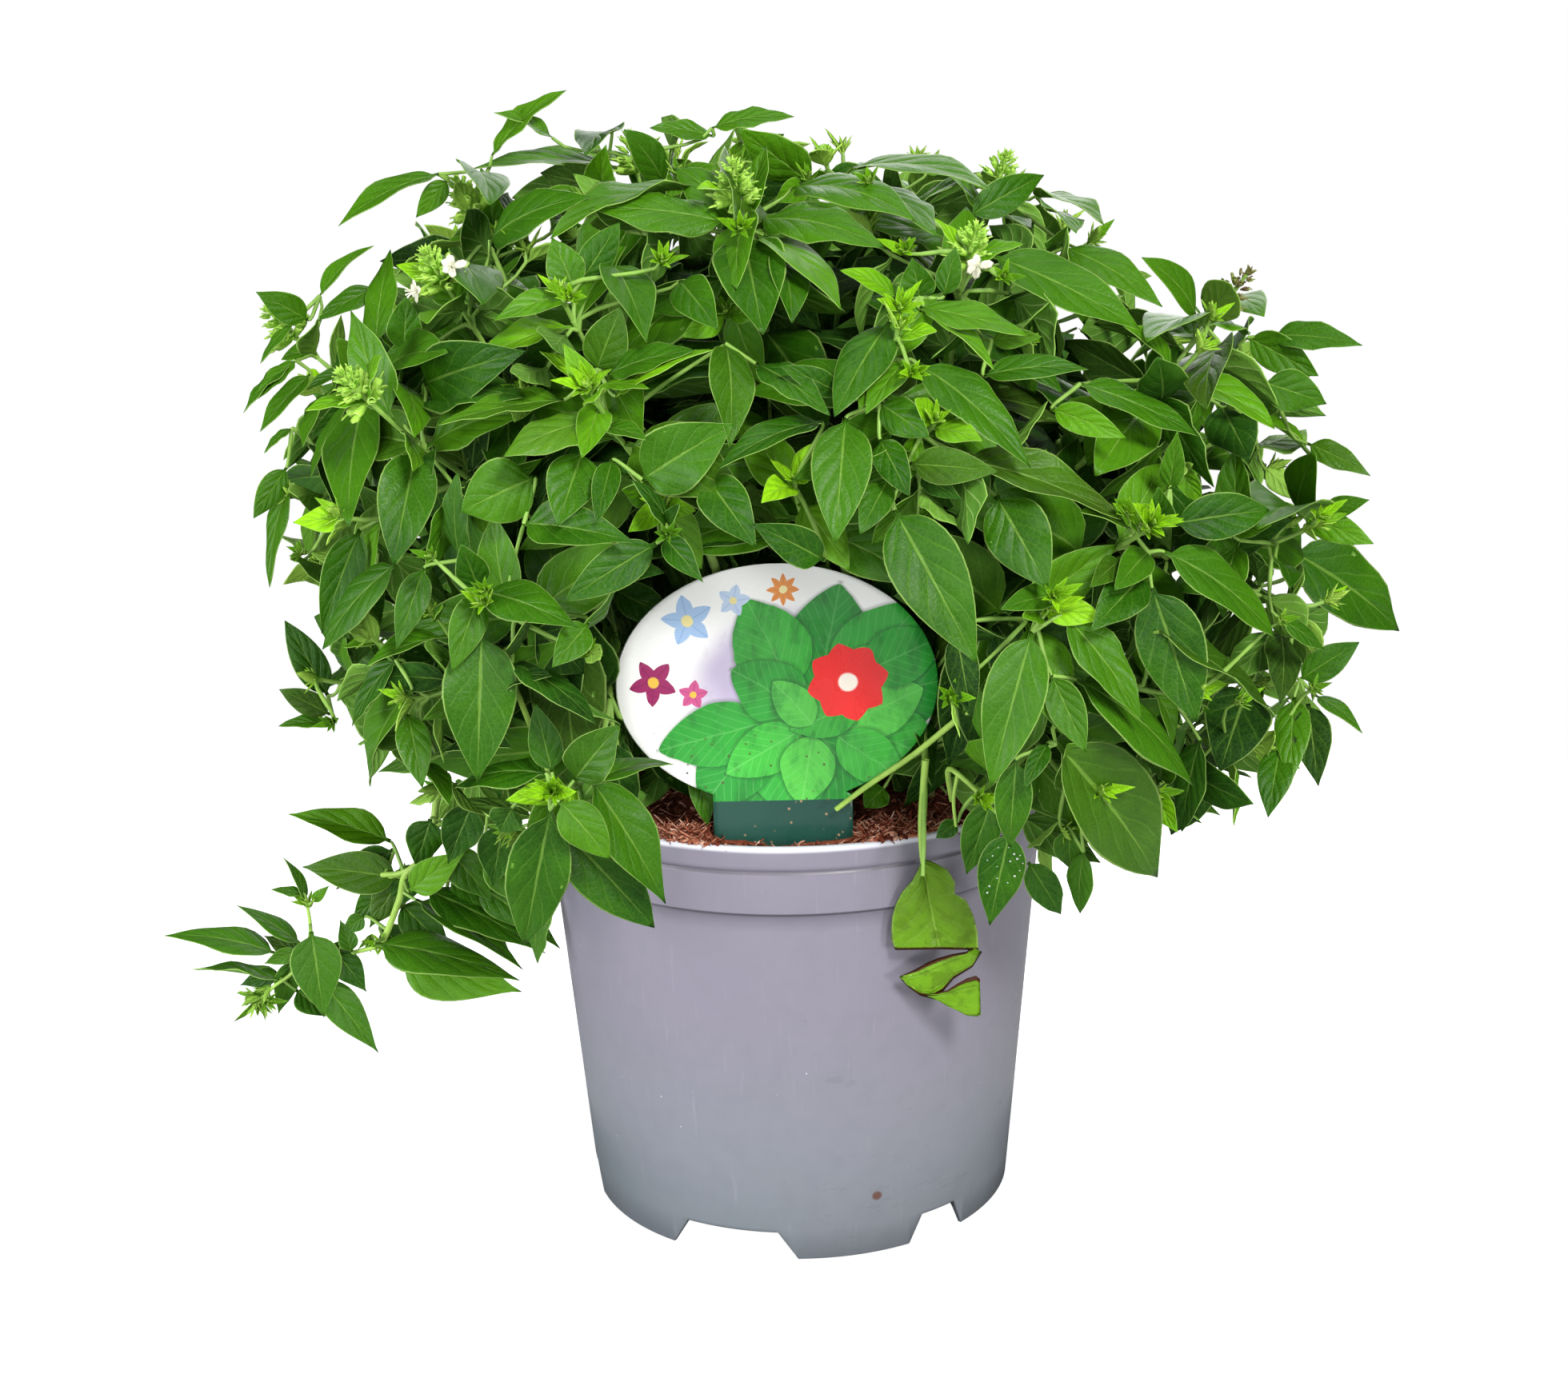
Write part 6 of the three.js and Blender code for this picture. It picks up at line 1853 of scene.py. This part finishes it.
def label_material():
    """The printed card: white with soft lavender, a generic sprig of leaves and small flowers."""
    n = Nodes("printed_label")
    group = petal_group()
    x, y, z = n.parts(n.scaled(n.place, (1000, 1000, 1000)))
    warp = n.math("MULTIPLY", n.math("SUBTRACT", n.noise(160, 2), 0.5), 1.1)
    across, up = n.math("ADD", x, warp), n.math("ADD", z, warp)

    def petal(foot_x, foot_z, angle, length, width):
        node = n.tree.nodes.new("ShaderNodeGroup")
        node.node_tree = group
        given = (across, up, foot_x, foot_z, math.radians(angle), length, width)
        for socket, value in zip(node.inputs, given):
            n.set(socket, value)
        return node.outputs

    wash = n.noise(34, 2)
    beside = n.math("SQRT", n.math("ADD", n.math("POWER", n.math("SUBTRACT", across, -2), 2.0),
                                   n.math("POWER", n.math("SUBTRACT", up, 186), 2.0)))
    shaded = n.math("MULTIPLY", n.between(beside, 23, 34, 1, 0), n.between(wash, 0.3, 0.6, 0.6, 1.0))
    colour = n.mix(shaded, linear("FFFFFF"), linear("C4B6DA"))
    streak = n.noise(240, 4, stretch=(1, 1, 0.5))
    for fx, fz, angle, length, width, fill, line in PRINTED_LEAVES:
        inside, vein, shade = petal(fx, fz, angle, length, width)
        colour = n.mix(n.math("MULTIPLY", shade, 0.75), colour, linear("0C4420"))
        green = n.mix(n.between(streak, 0.42, 0.75, 0, 0.7), linear(fill), linear(line))
        green = n.mix(n.math("MULTIPLY", vein, 0.24), green, linear("98E48C"))
        colour = n.mix(inside, colour, green)
    for cx, cz, count, length, width, turn, fill, deep, eye in PRINTED_FLOWERS:
        for k in range(count):
            inside, vein, _ = petal(cx, cz, turn + 360 / count * k, length, width)
            tone = n.mix(n.math("MULTIPLY", vein, 0.5), linear(fill), linear(deep))
            colour = n.mix(inside, colour, tone)
        far = n.math("SQRT", n.math("ADD", n.math("POWER", n.math("SUBTRACT", across, cx), 2.0),
                                    n.math("POWER", n.math("SUBTRACT", up, cz), 2.0)))
        colour = n.mix(n.between(far, length * 0.2, length * 0.26, 1, 0), colour, linear(eye))
    stake_top = LABEL["z"] - LABEL["tall"] / 2 + 1.2
    colour = n.mix(n.between(z, stake_top - 0.25, stake_top, 1, 0), colour, linear("18443A"))
    back = n.math("GREATER_THAN", y, LABEL["y"] + 0.02)
    plain = n.mix(n.between(z, stake_top - 0.25, stake_top, 1, 0), linear("EDEBEF"), linear("18443A"))
    colour = n.mix(back, colour, plain)
    dust = n.between(n.cells(360), 0.1, 0.2, 1, 0)
    low = n.math("MULTIPLY", n.between(z, 162, 192, 1, 0), n.between(n.noise(48, 3), 0.47, 0.55))
    crumb = n.mix(n.between(z, stake_top - 0.25, stake_top), linear("A08468"), linear("4A3324"))
    colour = n.mix(n.math("MULTIPLY", dust, n.math("MULTIPLY", low, 0.9)), colour, crumb)
    normal = n.bump(n.noise(40, 2), 0.0006, 0.25)
    return n.done(n.surface(colour, n.between(n.noise(60), 0.3, 0.7, 0.24, 0.36), normal, specular=0.5))


def floor_material():
    n = Nodes("pale_floor")
    x, y, _ = n.parts(n.place)
    away = n.math("SQRT", n.math("ADD", n.math("MULTIPLY", x, x), n.math("MULTIPLY", y, y)))
    colour = n.mix(n.between(n.noise(3, 3), 0.3, 0.7), linear("BEBEBE"), linear("BABABC"))
    surface = n.surface(colour, n.between(n.noise(8), 0.3, 0.7, 0.75, 0.85), specular=0.2,
                        Emission_Color=(1, 1, 1, 1))
    shown = n.tree.nodes.new("ShaderNodeLightPath").outputs["Is Camera Ray"]
    white = n.between(away, FLOOR["white_from"], FLOOR["white_at"], FLOOR["least"], FLOOR["most"])
    n.set(surface.node.inputs["Emission Strength"], n.math("MULTIPLY", white, shown))
    return n.done(surface)


# ---------- stage ----------
FLOOR = dict(radius=650, white_from=0.08, white_at=0.17, least=0.62, most=1.0)  # radius in mm, the rest in m


def make_floor():
    piece = Piece("pale_floor")
    reach = np.linspace(0, FLOOR["radius"], 7)[1:, None]
    turns = np.linspace(0, 2 * math.pi, 65)[:-1]
    rings = np.stack([reach * np.cos(turns), reach * np.sin(turns), np.zeros((len(reach), len(turns)))], 2)
    ids = piece.vertices(rings).reshape(rings.shape[:2])
    middle = piece.vertices([(0, 0, 0)])
    ids = np.vstack([np.full(len(turns), middle), ids])
    ids = np.hstack([ids, ids[:, :1]])
    piece.grid(ids, np.zeros(ids.shape + (2,)), (0.5, 0.5))
    floor = piece.build([floor_material()])


def make_camera():
    camera = bpy.data.cameras.new("camera")
    camera.sensor_fit = "HORIZONTAL"
    camera.sensor_width = SENSOR
    camera.lens = SENSOR * FOCAL_PX / PHOTO[0]
    camera.clip_start, camera.clip_end = 0.05, 50
    made = bpy.data.objects.new("camera", camera)
    turn = Matrix((RIGHT, UPWARD, -FORWARD)).transposed()
    made.matrix_world = Matrix.Translation(Vector(EYE) * MM) @ turn.to_4x4()
    bpy.context.scene.collection.objects.link(made)
    bpy.context.scene.camera = made


LIGHTS = [  # name, place and target in m, size in m, watts, colour
    ("key", (0.42, -1.1, 1.05), (0, 0, 0.22), 0.35, 21, (1.0, 0.98, 0.94)),
    ("front", (-0.35, -1.35, 0.42), (0, 0, 0.16), 1.0, 10, (1.0, 1.0, 1.0)),
    ("right", (0.95, -1.0, 0.3), (0, 0, 0.15), 0.3, 8, (1.0, 0.99, 0.98)),
    ("fill", (-1.2, -0.5, 0.3), (0, 0, 0.12), 0.8, 17, (0.97, 0.98, 1.0)),
    ("top", (0.0, 0.0, 1.6), (0, 0, 0.25), 0.7, 5, (1.0, 1.0, 1.0)),
    ("back", (0.3, 1.3, 0.9), (0, 0, 0.2), 1.2, 14, (1.0, 1.0, 1.0)),
]


def make_lights():
    for name, place, target, size, watts, colour in LIGHTS:
        lamp = bpy.data.lights.new(name, "AREA")
        lamp.shape, lamp.size, lamp.energy, lamp.color = "DISK", size, watts, colour
        made = bpy.data.objects.new(name, lamp)
        made.location = place
        made.rotation_euler = (Vector(target) - Vector(place)).to_track_quat("-Z", "Y").to_euler()
        bpy.context.scene.collection.objects.link(made)


WORLD = dict(light=0.035, seen=1.0)


def make_world():
    """White behind the plant, and a dimmer even light on it."""
    world = bpy.data.worlds.new("studio")
    world.use_nodes = True
    tree = world.node_tree
    tree.nodes.clear()
    output = tree.nodes.new("ShaderNodeOutputWorld")
    path = tree.nodes.new("ShaderNodeLightPath")
    mixed = tree.nodes.new("ShaderNodeMixShader")
    tree.links.new(path.outputs["Is Camera Ray"], mixed.inputs[0])
    for k, strength in enumerate((WORLD["light"], WORLD["seen"])):
        sky = tree.nodes.new("ShaderNodeBackground")
        sky.inputs["Color"].default_value = (1, 1, 1, 1)
        sky.inputs["Strength"].default_value = strength
        tree.links.new(sky.outputs[0], mixed.inputs[k + 1])
    tree.links.new(mixed.outputs[0], output.inputs["Surface"])
    bpy.context.scene.world = world
    bpy.context.scene.view_settings.view_transform = "Standard"


# ---------- assembly ----------
def hand_over(made, node):
    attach(made, "root")
    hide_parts(node)


def main():
    make_camera()
    make_world()
    make_lights()
    make_floor()
    leaf, torn, shoot = leaf_material("basil_leaf"), leaf_material("torn_basil_leaf", torn=True), shoot_material()
    stem_bark, calyx, petal = stem_material(), bud_material(), petal_material()
    water = water_material()

    stems = [stem_line(*row) for row in STEMS]
    foliage = grow_foliage(stems)
    make_torn_leaf(foliage.pieces[TORN_SHOOT])
    for i, piece in enumerate(foliage.pieces):
        materials = [leaf, shoot] + {TORN_SHOOT: [torn], foliage.wet: [water]}.get(i, [])
        hand_over(piece.build(materials), f"leafy_branch_{i + 1:02d}")
    for i, stem in enumerate(stems):
        hand_over(make_stem(i, stem).build([stem_bark]), f"stem_{i + 1:02d}")

    tops = []
    for index, branch in enumerate(BRANCHES):
        paths = [s.path for s in foliage.shoots if s.branch == index]
        tops += [path for path, tip in zip(paths, branch["tips"]) if len(tip) > 3]
    for i, path in enumerate(tops):
        spike = make_spike(i, path.at(1), path.tangent(1)).build([calyx, shoot, petal])
        hand_over(spike, f"flower_spike_{i + 1:02d}")

    pot = make_pot().build([pot_material()])
    drill_drains(pot)
    hand_over(pot, "nursery_pot")
    rng = np.random.default_rng(7)
    hand_over(make_soil(rng).build([soil_material()]), "potting_soil")
    hand_over(make_label().build([label_material()]), "plant_label")


main()
